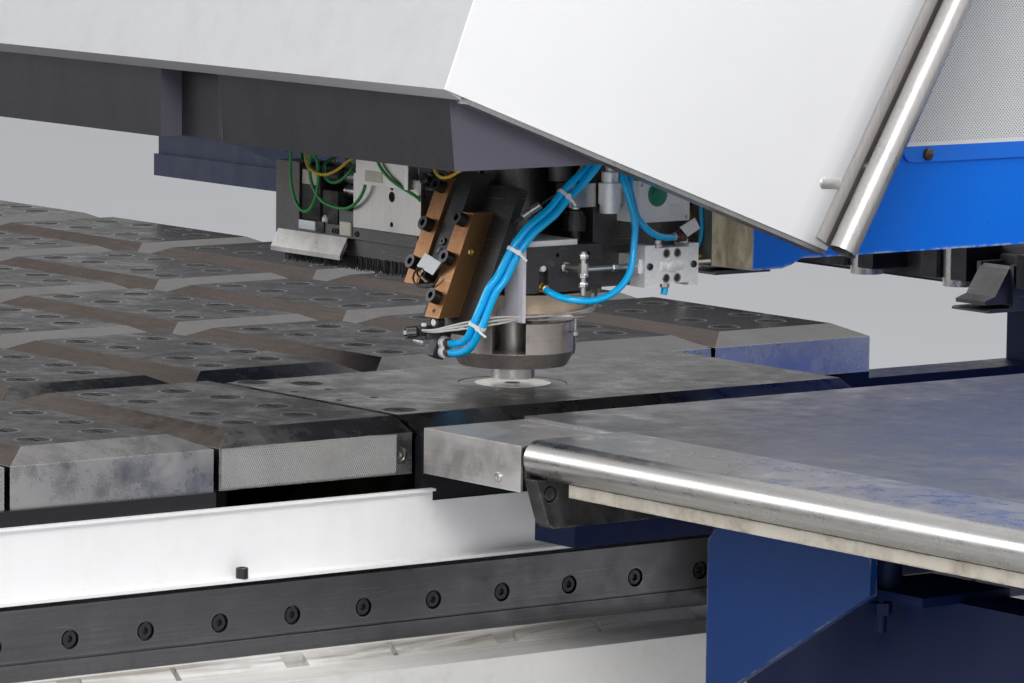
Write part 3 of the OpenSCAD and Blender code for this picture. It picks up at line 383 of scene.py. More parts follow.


# Finishes. paint: colour, roughness, dirt, chips, grain, soil colour, texture, shine, painted light of +X
# faces.
# steel: colour, roughness, grain axis, stain, scratches, stain colour, metal, edge wear,
# grain scale, waviness, painted shade of +X faces, specular tint. plastic: colour, roughness, dust.
M = {
    # Painted shade: the hood shell is the same white paint as the side panel, given a grey colour for the
    # shade on its faces
    "white": paint("white_cover_painted_shade", (0.50, 0.50, 0.515), 0.36, 0.14),
    "bright": panel_paint(),
    "bed_white": paint("white_bed", (0.92, 0.915, 0.92), 0.42, 0.06, 0.0),
    "grime_white": base_paint(),
    # The last colour is painted light on the skirts' +X faces
    "charcoal": paint("charcoal_skirt", (0.018, 0.0175, 0.022), 0.50, 0.08, 0.0, 0.1, (0.12, 0.12, 0.12),
                      0.35, 0.3, (0.105, 0.102, 0.135)),
    "navy": paint("navy_frame", (0.0015, 0.009, 0.055), 0.46, 0.14, 0.0, 0.15,
                  (0.03, 0.04, 0.06), 0.0, 0.2),
    "rail_navy": paint("navy_cross_rail", (0.006, 0.012, 0.045), 0.45, 0.30, 0.0, 0.15, (0.10, 0.10, 0.11)),
    "bracket_blue": paint("blue_bracket", (0.001, 0.026, 0.125), 0.38, 0.10, 0.3, 0.15,
                          (0.04, 0.06, 0.10), 0.0, 0.22),
    "black": paint("black_bracket", (0.016, 0.016, 0.018), 0.45, 0.35, 0.4, 0.15, (0.18, 0.17, 0.16)),
    "beige": paint("beige_flange", (0.50, 0.46, 0.39), 0.45, 0.75, 0.5, 0.15, (0.20, 0.15, 0.10)),
    "block": steel("dark_block", (0.075, 0.073, 0.078), 0.42, 3, 0.25, 0.15, (0.03, 0.03, 0.03), 0.6, 0.8),
    # Top, front-bevel and +X colours are painted reflection and shade of one steel
    "pads": pad_steel("pad_steel", (0.092, 0.089, 0.090), (0.21, 0.185, 0.17), (0.62, 0.61, 0.60)),
    "inserts": steel("insert_steel", (0.095, 0.09, 0.088), 0.34, 3, 0.45, 0.20,
                     (0.07, 0.055, 0.05), 1.0, 0.7, tint=0.30),
    "plate": steel("table_plate", (0.16, 0.158, 0.158), 0.27, 1, 0.35, 0.35,
                   (0.12, 0.11, 0.10), 1.0, 0.6, tint=0.55),
    "tube": steel("edge_steel", (0.40, 0.39, 0.38), 0.27, 0, 0.15, 0.25,
                  (0.24, 0.22, 0.20), 1.0, 0.0, 240, 0.0),
    "ramp": steel("ramp_steel", (0.60, 0.58, 0.57), 0.36, 0, 0.20, 0.20,
                  (0.30, 0.27, 0.24), 1.0, 0.5, 240, 0.5),
    "guard_edge": steel("strip_steel", (0.50, 0.49, 0.485), 0.40, 2, 0.06, 0.0,
                        (0.36, 0.35, 0.34), 0.8, 0.0, 260, 0.0),
    # A dark strip painted as the shade between the guard strip and the tube
    "guard_painted_shade": steel("strip_shade", (0.24, 0.215, 0.205), 0.40, 2, 0.06, 0.0,
                        (0.08, 0.07, 0.07), 0.8, 0.0, 260, 0.0),
    "tool": machined("punch_shank", (0.86, 0.85, 0.84), 0.40, False, 0.6),
    "knob": plastic("black_knob", (0.020, 0.020, 0.022), 0.20, 0.05),
    "guard": steel("guard_steel", (0.52, 0.505, 0.50), 0.30, 2, 0.02, 0.02,
                   (0.44, 0.43, 0.42), 1.0, 0.0, 260, 0.0),
    "stainless": steel("stainless", (0.60, 0.58, 0.56), 0.30, 2, 0.22, 0.18, (0.28, 0.23, 0.18), 1.0, 0.0),
    "corner": steel("corner_steel", (0.84, 0.82, 0.87), 0.45, 2, 0.10, 0.06, (0.50, 0.48, 0.49), 0.25, 0.0),
    # Near white and hardly metallic: painted reflection on the top plate and painted light on the shaded
    # sign plate
    "bright_plate": steel("top_plate_painted_reflection", (0.98, 0.97, 0.97), 0.45, 3, 0.05, 0.0,
                          (0.7, 0.68, 0.66), 0.1, 0.0),
    "rail": steel("rail_steel", (0.165, 0.162, 0.17), 0.32, 1, 0.35, 0.10,
                  (0.07, 0.065, 0.065), 1.0, 0.7, 300),
    "dark": steel("dark_steel", (0.13, 0.125, 0.125), 0.40, 3, 0.35, 0.20, (0.04, 0.035, 0.03), 0.8, 0.5),
    "web": steel("carrier_steel", (0.050, 0.050, 0.052), 0.42, 3, 0.30, 0.10,
                 (0.015, 0.015, 0.015), 0.7, 0.5),
    "deck": steel("dark_table", (0.17, 0.17, 0.18), 0.34, 0, 0.25, 0.30, (0.07, 0.07, 0.07), 0.9, 0.0, 120),
    # The last colour is painted shade on the bars' +X sides
    "bronze": steel("bronze", (0.34, 0.170, 0.076), 0.42, 2, 0.60, 0.12, (0.13, 0.050, 0.022), 0.75, 0.4,
                    160, 1.0, (0.15, 0.078, 0.030)),
    "tan": steel("tan_ring", (0.80, 0.64, 0.47), 0.40, 3, 0.30, 0.10, (0.34, 0.25, 0.16), 0.4, 0.4),
    "valve": steel("valve_metal", (0.93, 0.94, 0.98), 0.34, 3, 0.06, 0.05, (0.55, 0.55, 0.57), 0.35, 0.4),
    "oxide": steel("black_oxide", (0.060, 0.060, 0.065), 0.30, 3, 0.25, 0.05, (0.02, 0.02, 0.02), 0.9, 0.8),
    "cup": machined("cup_steel", (0.62, 0.56, 0.52), 0.27, True, 0.72),
    "punch": machined("punch_steel", (0.80, 0.79, 0.78), 0.26, False, 0.85),
    "rubber": plastic("black_rubber", (0.012, 0.012, 0.013), 0.55),
    # Black rings of painted shade for the grooves round the table inserts
    "groove_shade": plastic("groove_shade_ring", (0.010, 0.010, 0.011), 0.35, 0.05),
    "hair": plastic("brush_fibre", (0.014, 0.013, 0.013), 0.65, 0.05),
    "hose": plastic("blue_hose", (0.0, 0.50, 1.0), 0.16, 0.0),
    "green": plastic("green_wire", (0.02, 0.28, 0.05), 0.4),
    "yellow": plastic("yellow_wire", (0.75, 0.48, 0.03), 0.4),
    "nylon": plastic("white_nylon", (0.82, 0.84, 0.86), 0.32, 0.12),
    "clear": plastic("clear_tube", (0.62, 0.60, 0.57), 0.18, 0.10),
    "label": plastic("blank_label", (0.86, 0.86, 0.85), 0.5, 0.15),
    "label_old": plastic("cream_label", (0.70, 0.66, 0.55), 0.5, 0.45),
    "sign_green": plastic("green_disc", (0.012, 0.22, 0.13), 0.35, 0.1),
    "brown": plastic("brown_fitting", (0.060, 0.026, 0.016), 0.25, 0.1),
    "brass": steel("brass", (0.72, 0.50, 0.20), 0.28, 3, 0.2, 0.0, (0.35, 0.24, 0.10), 1.0, 0.0),
    "knurl": steel("knurled_steel", (0.36, 0.355, 0.35), 0.34, 3, 0.25, 0.0, (0.14, 0.13, 0.12), 1.0, 0.0),
    "iron": paint("foot_iron", (0.03, 0.03, 0.033), 0.5, 0.3),
    "frame_blue": blue_frame(),
    "perforated": perforated(),
}
DRESS = {
    "white": ["hood_shell"], "bright": ["hood_side_panel"], "bed_white": ["bed_panel"],
    "grime_white": ["base_frame"],
    "charcoal": ["skirt_left", "skirt_centre"], "navy": ["table_frames"], "rail_navy": ["cross_rail"],
    "bracket_blue": ["support_bracket"], "black": ["edge_bracket"],
    "beige": ["edge_flange"], "block": ["head_block"],
    "pads": ["front_pads", "parts_flap", "left_pads"],
    "inserts": ["pad_inserts", "flap_inserts", "left_inserts"],
    "plate": ["centre_table"], "tube": ["edge_tube"], "ramp": ["ramp_plate"],
    "guard": ["guard_tube", "hood_trim"],
    "corner": ["corner_plate"], "bright_plate": ["top_plate", "sign_plate"],
    "stainless": ["brush_plate", "sensor_plate", "regulator_block", "valve_fittings"],
    "rail": ["y_rails"], "deck": ["right_table"], "bronze": ["guide_bars"], "tan": ["rotation_ring"],
    "dark": ["head_carrier", "ram_cylinder", "brush_unit", "die_holder", "rail_carriages", "x_carriage",
             "clamp_jaws"], "web": ["bar_carrier"],
    "valve": ["valve_block", "oil_filter"], "oxide": ["cap_screws", "tool_cassettes"],
    "cup": ["stripper_cup", "die_insert"], "tool": ["punch_tool"],
    "punch": ["stripper_tube", "ram_spindle", "cassette_tools"],
    "rubber": ["brush_bristles"], "knob": ["pressure_knob"], "hose": ["hose_bundle", "valve_hoses"],
    "green": ["control_wires"],
    "iron": ["levelling_feet"], "frame_blue": ["c_frame"], "perforated": ["grille_panel"],
}
for key, names in DRESS.items():
    for name in names:
        node = NODES[name]
        node.data.materials.clear()
        node.data.materials.append(M[key])

# ---------------------------------------------------------------- pieces, in millimetres of the CAD frame
def turned(v, turn):
    """Turns a point of the guide bars' inclined frame into the CAD frame."""
    return turn @ Vector(v)


class Piece:
    """One mesh made of several shapes. It rides on a body and keeps a slot name; its finishes come from its
    keys.
    """

    def __init__(self, name, body, slot, key):
        self.name, self.body, self.slot = name, body, slot
        self.bm = bmesh.new()
        self.keys = [key]

    def _take(self, faces, key):
        key = key or self.keys[0]
        if key not in self.keys:
            self.keys.append(key)
        for f in faces:
            f.material_index = self.keys.index(key)
            f.smooth = True

    def mesh(self, verts, faces, key=None):
        vs = [self.bm.verts.new(Vector(v) * MM) for v in verts]
        self._take([self.bm.faces.new([vs[i] for i in f]) for f in faces], key)

    def rings(self, loops, key=None, closed=False):
        """Joins loops of points, each of the same count, and caps the two ends."""
        n = len(loops[0])
        faces = []
        for i in range(len(loops) if closed else len(loops) - 1):
            a, b = i * n, (i + 1) % len(loops) * n
            faces += [(a + k, a + (k + 1) % n, b + (k + 1) % n, b + k) for k in range(n)]
        if not closed:
            faces += [tuple(range(n - 1, -1, -1)), tuple(range((len(loops) - 1) * n, len(loops) * n))]
        self.mesh([p for loop in loops for p in loop], faces, key)

    def lathe(self, a, b, profile, n=20, key=None, knurl=0.0):
        """Turns (distance from a, radius) pairs round the line from a to b."""
        a, b = Vector(a), Vector(b)
        t = (b - a).normalized()
        u = t.orthogonal().normalized()
        w = t.cross(u)
        self.rings([[a + t * d + (u * math.cos(2 * math.pi * k / n) + w * math.sin(2 * math.pi * k / n))
                     * (r + (knurl if k % 2 else 0.0)) for k in range(n)] for d, r in profile], key)

    def rod(self, a, b, r, n=20, key=None, knurl=0.0):
        h = (Vector(b) - Vector(a)).length
        c = min(EDGE, r * 0.2, h * 0.3)
        self.lathe(a, b, [(0, r - c), (c, r), (h - c, r), (h, r - c)], n, key, knurl)

    def socket(self, a, b, r, key=None):
        """A socket head: a chamfered disc with a six-sided recess at b."""
        h = (Vector(b) - Vector(a)).length
        self.lathe(a, b,
                   [(0, r), (h - EDGE, r), (h, r - EDGE), (h, r * 0.56), (h * 0.45, r * 0.52),
                    (h * 0.44, 0.2)], 24, key)

    def slab(self, lo, hi, bevel=0.7, key=None, turn=None):
        part = bmesh.new()
        size = [h - l for l, h in zip(lo, hi)]
        bmesh.ops.create_cube(part, size=1.0, matrix=Matrix.Diagonal((*size, 1.0)))
        if bevel:
            bmesh.ops.bevel(part, geom=part.edges[:], offset=min(bevel, min(size) * 0.3), segments=2,
                            affect="EDGES", profile=0.5)
        mid = Vector([(l + h) / 2 for l, h in zip(lo, hi)])
        verts = [v.co + mid for v in part.verts]
        if turn:
            verts = [turned(v, turn) for v in verts]
        self.mesh(verts, [[v.index for v in f.verts] for f in part.faces], key)
        part.free()

    def tube(self, points, r, n=12, key=None, step=5.0, flat=1.0):
        """A round cord of radius r along a smooth path; flat below 1 presses it into a strip."""
        path = curve(points, step)
        t = (path[1] - path[0]).normalized()
        u = t.orthogonal().normalized()
        loops = []
        for i, p in enumerate(path):
            t = (path[min(i + 1, len(path) - 1)] - path[max(i - 1, 0)]).normalized()
            u = (u - t * u.dot(t)).normalized()
            w = t.cross(u)
            loops.append([p + u * r * math.cos(2 * math.pi * k / n)
                          + w * r * flat * math.sin(2 * math.pi * k / n) for k in range(n)])
        self.rings(loops, key)

    def band(self, mid, t, u, apart, r, width, thick, key=None):
        """A strap round two tubes of radius r whose centres are apart along u. It lies across t."""
        t, u = Vector(t).normalized(), Vector(u)
        u = (u - t * u.dot(t)).normalized()
        w = t.cross(u)
        loops = []
        for k in range(36):
            a = 2 * math.pi * (k + 0.5) / 36
            way = u * math.cos(a) + w * math.sin(a)
            mid_k = Vector(mid) + u * math.copysign(apart / 2, math.cos(a))
            loops.append([mid_k + way * q + t * d for q,
                          d in ((r, -width / 2), (r + thick, -width / 2),
                                (r + thick, width / 2), (r, width / 2))])
        self.rings(loops, key, True)

    def done(self, *replaced):
        bmesh.ops.recalc_face_normals(self.bm, faces=self.bm.faces)
        mesh = bpy.data.meshes.new(self.name)
        self.bm.to_mesh(mesh)
        self.bm.free()
        for key in self.keys:
            mesh.materials.append(M[key])
        mesh.set_sharp_from_angle(angle=SHARP)
        made = bpy.data.objects.new(self.name, mesh)
        bpy.context.scene.collection.objects.link(made)
        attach(made, self.body)
        if replaced:
            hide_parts(*replaced)
        return made


def curve(points, step):
    """A smooth path through given points."""
    p = [Vector(q) for q in points]
    p = [p[0] * 2 - p[1]] + p + [p[-1] * 2 - p[-2]]
    path = []
    for a, b, c, d in zip(p, p[1:], p[2:], p[3:]):
        n = max(2, int((c - b).length / step))
        for k in range(n):
            s = k / n
            path.append(0.5 * (2 * b + (c - a) * s + (2 * a - 5 * b + 4 * c - d) * s * s
                               + (3 * b - a - 3 * c + d) * s ** 3))
    return path + [p[-2]]


def nearest(points, at):
    """The point and direction of a path closest to a place."""
    path = curve(points, 3.0)
    i = min(range(1, len(path) - 1), key=lambda k: (path[k] - Vector(at)).length)
    return path[i], (path[i + 1] - path[i - 1]).normalized()


# The guide bars' inclined frame, and the X at which the hoses leave the machine
BAR_TURN = Matrix.Translation((0, -166, 1029)) @ Matrix.Rotation(math.radians(-22), 4, "X")
WALL = 105.3

# Hoses, on the routes of the CAD nodes
HOSE_A = [(WALL, 62, 1336), (116, 62, 1335), (133, 58, 1324), (145, 46, 1290), (147, 28, 1250),
          (147, 11, 1226), (146.2, -14.6, 1207.2), (143.3, -33.6, 1189.6), (141.4, -51.2, 1170.9),
          (140, -68.4, 1158.9), (138.3, -85.4, 1146.1), (135.1, -106.6, 1120.2), (129, -122.4, 1088.1),
          (125.5, -134.3, 1072.2), (119.4, -142.6, 1047.5), (113, -147.4, 1028.5), (101, -146.7, 1010.3),
          (91, -145.8, 1002.7), (82, -146, 998.8), (66, -145.1, 995.7), (42.3, -145.1, 995.7)]
HOSE_B = [(WALL, 62, 1352), (118, 62, 1351), (142, 56, 1338), (157, 40, 1292), (160, 25, 1250),
          (159.5, 12, 1226), (151.8, -8.6, 1199.6), (148.7, -27.8, 1182.8), (146.6, -45.6, 1163.9),
          (145, -63.4, 1151.3), (143.7, -79.4, 1139.5), (140.9, -99.8, 1115), (135, -115.6, 1082.9),
          (131.5, -127.3, 1067.4), (125.6, -135.2, 1043.5), (121.6, -140.5, 1025), (117, -143.9, 1013.8),
          (109, -143.7, 1003), (98, -143.6, 992.9), (84, -143.7, 986.8), (66, -144.9, 983.5),
          (42.3, -144.9, 983.5)]
VALVE_A = [(WALL, 120, 1290), (118, 119, 1290), (142, 108, 1278), (156, 88, 1250), (159, 73, 1222),
          (159, 63.5, 1200), (162, 66.5, 1179), (168, 69.5, 1157), (173, 81, 1141), (172, 100, 1131),
          (170, 116, 1128), (168, 129, 1127)]
VALVE_B = [(WALL, 120, 1266), (116, 118, 1265), (136, 102, 1254), (146, 78, 1236), (160, 52, 1214),
          (168, 49, 1199), (172, 53, 1180), (178, 58, 1150), (179, 56, 1120),
          (184, 48, 1093), (186, 34, 1074),
          (185, 12, 1060), (180, -12, 1054), (170, -31, 1055), (155, -43, 1058), (138, -47, 1063),
          (126, -47.2, 1067), (116.3, -47.2, 1068)]
p = Piece("smooth_hoses", "bed", "hose_blue", "hose")
p.tube(HOSE_A, 5, 16)
p.tube(HOSE_B, 5, 16)
p.done("hose_bundle")
p = Piece("smooth_valve_hoses", "bed", "hose_blue", "hose")
p.tube(VALVE_A, 4.5, 16)
p.tube(VALVE_B, 4.5, 16)
p.tube([(167, 117, 1072), (167.5, 117, 1064), (168, 115, 1054)], 4.5, 16)
p.done("valve_hoses")

p = Piece("hose_ties", "bed", "black_plastic", "nylon")
for at in ((143, -34, 1189), (135, -107, 1119), (112, -147, 1026)):
    a, ta = nearest(HOSE_A, at)
    b, tb = nearest(HOSE_B, a)
    t = (ta + tb).normalized()
    across = b - a - t * (b - a).dot(t)
    mid = a + across / 2
    p.band(mid, t, across, across.length, 5.15, 4.6, 1.3)
    across.normalize()
    out = t.cross(across)
    if out.x < out.y:
        out = -out
    head = mid + across * 4
    p.rod(head + out * 5, head + out * 11.5, 3.6, 10)
    p.tube([head + out * 10, head + out * 12 + across * 7 + t * 2, head + out * 11 + across * 15 + t * 4],
           1.5, 6, None, 4, 0.45)
p.done()

p = Piece("hose_fittings", "bed", "stainless", "nylon")
for y, z in ((-145.1, 995.7), (-144.9, 983.5)):
    p.rod((42.2, y, z), (50, y, z), 7.6, 32, "nylon", 0.7)
    p.rod((49.5, y, z), (55, y, z), 5.9, 6, "dark")
    p.rod((54.5, y, z), (60, y, z), 5.8, 20, "brown")
p.slab((26, -179, 1004), (40, -158, 1017), 1.0, "rubber")
p.rod((33, -178, 1010), (24, -188, 1009), 7.0, 24, "dark", 0.5)
p.rod((25, -187, 1009), (21, -191, 1008.5), 5.0, 6, "guard")
p.rod((36, -170, 1016), (36, -170, 1021), 3.4, 16, "nylon")
p.slab((38, -170, 1000), (44, -150, 1008), 0.8, "dark")
p.slab((20, -176, 993), (41, -173, 999), 0.6, "guard")
p.rod((46, -150, 1022), (46, -162, 1022), 9.0, 28, "rubber")
p.rod((46, -161, 1022), (46, -163.4, 1022), 4.6, 24, "nylon")
p.rod((62, -150, 1019), (76, -146, 1018), 3.6, 6, "guard")
p.rod((76, -146, 1018), (86, -143, 1017), 2.4, 16, "guard")
p.slab((103, -63, 1020), (106, -50, 1028), 0.5, "rubber")
p.rod((125, -47.2, 1068), (118, -47.2, 1068), 6.4, 6, "brass")
p.rod((131, -47.2, 1066), (124.5, -47.2, 1068), 5.6, 20, "brass")
p.lathe((119, -47.2, 1092), (128, -47.2, 1092), [(0, 4.4), (5, 4.4), (7.6, 3.4), (8.8, 1.4)], 20, "nylon")
p.done()

RIBBON = [(38, -176, 1012), (52, -166, 1012), (68, -155, 1016), (88, -143, 1021),
          (108, -135, 1025), (116, -122, 1028),
          (117, -102, 1029), (115, -70, 1029.5), (113, -36, 1029.7), (110, -4, 1030),
          (106, 26, 1030.5), (98, 48, 1031),
          (86, 66, 1034), (76, 76, 1042), (72, 82, 1052), (71, 85, 1061)]
LIFT = [0.5, 1.5, 3.0, 4.0, 4.2, 4.4, 3.6, 0.8, 0.0, 0.0, 1.2, 2.6, 3.2, 2.4, 0.6, 0.0]
p = Piece("clear_tubes", "bed", "black_plastic", "clear")
for k in (-1, 0, 1):
    p.tube([(x + k * (1.6 if lift < 1 else 0.4), y, z + k * lift * (0.9 if x < 80 or y > 0 else 1.0))
            for (x, y, z), lift in zip(RIBBON, LIFT)], 1.5, 10)
p.tube([(104, -63, 1025), (108, -40, 1024), (108, -10, 1024), (104, 20, 1024), (96, 44, 1024),
        (84, 62, 1027), (74, 74, 1036), (68, 82, 1050), (67, 85, 1061)], 1.2, 8)
p.done()

# Wires
GREEN = [(-372, -75, 1196.3), (-370, -79, 1209), (-362, -92, 1218), (-352, -106, 1218),
         (-345, -113, 1206), (-346, -113, 1180),
         (-340, -113, 1156), (-329, -113, 1140), (-314, -113, 1133), (-299, -113, 1138),
         (-288, -113, 1153), (-282, -113, 1174),
         (-283, -113, 1198), (-290, -113, 1211), (-298, -113, 1210), (-302, -113, 1198),
         (-299, -113, 1177), (-289, -113, 1162),
         (-272, -113, 1150), (-248, -113.5, 1145), (-222, -114, 1144),
         (-202, -114.5, 1149), (-186, -115, 1159),
         (-175, -115.5, 1171), (-171, -115.5, 1180.7)]
p = Piece("earth_wires", "bed", "wire_green", "green")
p.tube(GREEN, 2.3, 10)
p.tube([(-322, -56, 1195), (-321, -66, 1212), (-320, -92, 1219), (-318, -108, 1209),
        (-298, -116, 1192), (-263, -118, 1186),
        (-233, -116, 1195), (-214, -110, 1209), (-206, -90, 1216), (-205, -66, 1210), (-205, -56, 1195)],
        2.1, 10, "yellow")
p.tube([(-286, -56, 1195), (-288, -70, 1208), (-284, -100, 1199), (-270, -109, 1182),
        (-250, -110, 1176), (-232, -106, 1184),
        (-222, -92, 1204), (-220, -70, 1210), (-220, -56, 1195)], 2.2, 10, "green")
p.tube([(-136, -121.5, 1234), (-133, -127, 1226), (-124, -127, 1209), (-104, -127, 1195), (-86, -126, 1187),
        (-70, -118, 1178), (-62, -109, 1170), (-60.5, -107, 1166)], 2.2, 10, "green")
p.tube([(-40, -68, 1193), (-41, -80, 1208), (-36, -98, 1220), (-28, -109, 1211), (-12, -112, 1202),
        (6, -111, 1203), (20, -105, 1211),
        (27, -94, 1220), (26, -84, 1218), (24, -77, 1208)], 2.2, 10, "yellow")
p.done("control_wires")

p = Piece("head_cables", "bed", "black_plastic", "rubber")
p.tube([(141, -32, 1193), (134, -42, 1184), (124, -53, 1174), (111, -71, 1158), (100, -78, 1149),
        (90, -80, 1146), (78, -80, 1144),
        (68, -82, 1140), (62, -84, 1132), (60, -82, 1122), (60, -76, 1112)], 2.0, 10)
p.tube([(100, -77, 1149), (88, -84, 1150), (74, -84, 1152), (62, -84, 1149), (54, -84, 1142),
        (56, -84, 1134), (66, -82, 1132), (78, -80, 1138),
        (88, -79, 1145)], 1.2, 8)
p.tube([(92, -80, 1147), (80, -84, 1141), (72, -86, 1132), (60, -86, 1130), (54, -86, 1138),
        (62, -86, 1146), (76, -84, 1146)], 1.0, 8)
p.tube([(141, -27, 1196), (138, -14, 1204), (134, 2, 1218), (130, 16, 1232)], 1.3, 8, "yellow")
p.rod((124, -53, 1174), (119, -60, 1168), 5.4, 20, "guard")
p.rod((120, -59, 1169), (116, -65, 1164), 4.6, 24, "guard", 0.5)
p.rod((116, -64, 1164.5), (111, -71, 1158), 5.6, 20, "guard")
p.tube([(104, 196, 1166), (112, 204, 1160), (121, 212, 1150), (118, 216, 1128), (112, 208, 1104),
        (103, 196, 1090)], 2.4, 10, "hose")
p.tube([(104, 190, 1160), (114, 200, 1150), (120, 204, 1132), (116, 206, 1110), (103, 190, 1082)], 2.0, 10,
       "yellow")
p.tube([(104, 186, 1172), (116, 198, 1164), (127, 208, 1148), (123, 206, 1122), (103, 182, 1098)], 2.0, 10,
       "rubber")
p.done()

# Brush and its fittings
HAIR_COLUMNS, HAIR_ROWS = 200, 6
HAIR_PITCH = (1.56, 6.1)
HAIR_TOP, HAIR_LOW = 1081, 1061.5
p = Piece("brush_hair", "bed", "bristle", "hair")
for i in range(HAIR_COLUMNS):
    for j in range(HAIR_ROWS):
        x = -385 + i * HAIR_PITCH[0] + rnd.uniform(-0.5, 0.5)
        y = -91 + j * HAIR_PITCH[1] + rnd.uniform(-1.5, 1.5)
        dx, dy = rnd.uniform(-1.6, 1.6), rnd.uniform(-1.6, 1.2)
        low = HAIR_LOW + rnd.uniform(-1.0, 3.4)
        p.mesh([(x - 0.8, y - 0.8, HAIR_TOP), (x + 0.8, y - 0.8, HAIR_TOP), (x, y + 0.9, HAIR_TOP),
                (x + dx - 0.5, y + dy - 0.5, low), (x + dx + 0.5, y + dy - 0.5, low),
                (x + dx, y + dy + 0.5, low)],
               [(2, 1, 0), (3, 4, 5), (0, 1, 4, 3), (1, 2, 5, 4), (2, 0, 3, 5)])
p.done("brush_bristles")

p = Piece("brush_fittings", "bed", "black_plastic", "rubber")
p.slab((-343, -97, 1120), (-300, -59, 1190), 1.2)
p.slab((-340, -98, 1168), (-304, -96.5, 1187), 0.3, "label_old")
p.slab((-297, -95, 1114), (-262, -59, 1163), 1.2)
p.rod((-300, -84, 1181), (-266, -84, 1181), 9, 24, "block")
for z in (1182, 1163):
    p.rod((-262, -78, z), (-232, -78, z), 8.5, 24, "guard")
    p.rod((-233, -78, z), (-226, -78, z), 5, 24, "rubber")
p.slab((-341, -103, 1108), (-303, -99.5, 1120), 0.8, "nylon")
p.slab((-302, -102, 1106), (-284, -99.5, 1121), 0.6)
p.lathe((-291, -92, 1116), (-291, -92, 1132), [(0, 6.5), (8, 6.5), (12, 5), (15, 1.5)], 20, "nylon")
p.slab((-247, -102.5, 1107), (-222, -99.7, 1125), 0.6, "label_old")
for x in (-262, -255, -210):
    p.socket((x, -99.5, 1111), (x, -102.5, 1111), 3.6, "oxide")
p.slab((-161, -123.8, 1185.5), (-123, -122.6, 1200), 0.3, "label_old")
p.done()

# On and between the bronze bars
p = Piece("bar_fittings", "bed", "stainless", "brass")
p.socket(turned((61.5, 15, 95), BAR_TURN), turned((64.2, 15, 95), BAR_TURN), 4.4)
p.socket(turned((14, 5.4, 101), BAR_TURN), turned((14, 1.5, 101), BAR_TURN), 5.0, "dark")
p.rod(turned((14, 2, 92), BAR_TURN), turned((14, 0, 84), BAR_TURN), 2.2, 12, "guard")
p.rod(turned((2, 30.4, 28), BAR_TURN), turned((2, 28, 28), BAR_TURN), 3.0, 16, "rubber")
p.rod(turned((47, 0.3, 9), BAR_TURN), turned((47, -0.6, 9), BAR_TURN), 2.6, 16, "rubber")
p.rod(turned((-46, 2, 176), BAR_TURN), turned((-46, -14, 176), BAR_TURN), 8.0, 24, "oxide")
p.lathe(turned((-46, -13.8, 176), BAR_TURN), turned((-46, -14.6, 176), BAR_TURN),
        [(0, 7.4), (0.6, 7.0), (0.8, 4.4), (0.1, 4.2)], 24, "oxide")
p.slab((-56, 0, 164), (-36, 30.2, 190), 1.0, "web", BAR_TURN)
p.done()
TAG = [(13.6, -152, 1108.2), (47.8, -152, 1098.5), (30.3, -152, 1081), (-4, -152, 1089.7)]
p = Piece("nose_wires", "bed", "hose_blue", "hose")
p.tube([(140, 196, 1176), (141, 196.5, 1153), (142, 197, 1132), (140, 194, 1112), (134, 186, 1101)], 2.9,
       12)
p.tube([(140, 206, 1174), (141, 209, 1150), (142, 213, 1122), (140, 208, 1104), (136, 199, 1097),
        (130, 190, 1096)], 2.3, 12, "yellow")
p.done()

p = Piece("white_tag", "bed", "white_paint", "nylon")
p.mesh(TAG + [(x, y - 1.2, z) for x, y, z in TAG], PLATE_FACES)
p.tube([(14, -151, 1094), (-4, -152, 1086), (-12, -153, 1074), (-3, -154, 1065), (16, -154, 1064),
        (34, -153, 1069), (42, -151.5, 1080)], 1.4, 8, "rubber")
p.band(Vector((4, -152, 1082)), (0, 1, 0), (1, 0, 0), 5.5, 5.0, 2.4, 1.6, "rubber")
p.rod((5, -151, 1076), (18, -151, 1070), 3.0, 12, "dark")
p.rod((8, -146, 1084), (8, -154, 1084), 2.2, 12, "guard")
p.done()

# Valve and sign plate
p = Piece("valve_details", "bed", "valve_metal", "valve")
p.lathe((167, 104, 1115.8), (167, 104, 1129),
        [(0, 6.5), (4, 6.5), (4.5, 5.2), (9, 5.2), (10, 4.0), (12, 4.0)], 20, "guard")
p.lathe((167, 98, 1128), (167, 106, 1130), [(0, 2.4), (2, 3.6), (7, 3.6), (8, 2.0)], 16, "brown")
p.rod((167, 146, 1119.6), (167, 146, 1125), 6.4, 6, "guard")
p.lathe((167, 144, 1122), (167, 142, 1138),
        [(0, 7.0), (5, 8.2), (10, 7.8), (14, 5.4), (16, 2.0)], 20, "brown")
p.rod((167, 142, 1128.5), (167, 133, 1128), 7.0, 20, "brown")
p.rod((167, 134, 1128), (167, 130, 1128), 5.6, 20, "clear")
p.rod((167, 117, 1072), (167, 117, 1063), 6.2, 6, "guard")
for y in (80, 152):
    p.socket((181.6, y, 1093), (184.4, y, 1093), 4.6, "oxide")
for y in (107, 125):
    for z in (1077, 1109):
        p.lathe((181.2, y, z), (182.8, y, z),
                [(0, 6.6), (1.2, 6.4), (1.4, 5.2), (0.5, 4.8), (0.4, 0.2)], 20, "guard")
        p.socket((181.4, y, z), (182.4, y, z), 4.7, "oxide")
p.lathe((181.2, 116, 1093), (186.2, 116, 1093), [(0, 9.5), (4.4, 9.0), (5.0, 8.0), (5.0, 0.2)], 6, "valve")
p.slab((180.4, 98, 1087), (184.2, 134, 1099), 0.8, "valve")
p.rod((124, -16, 1093), (132, -16, 1093), 7.4, 6, "guard")
for z in (1070, 1082, 1106):
    p.lathe((167, -16, z), (167, -16, z + 7), [(0, 5.2), (2, 6.4), (5, 6.4), (7, 5.2)], 6, "guard")
p.rod((167, 30, 1093), (167, 40, 1093), 5.4, 6, "guard")
FLAG = [(176, 133, 1141), (176, 157, 1152), (176, 166, 1138), (176, 146, 1128)]
p.mesh(FLAG + [(177.2, y, z) for x, y, z in FLAG], PLATE_FACES, "label")
p.done()

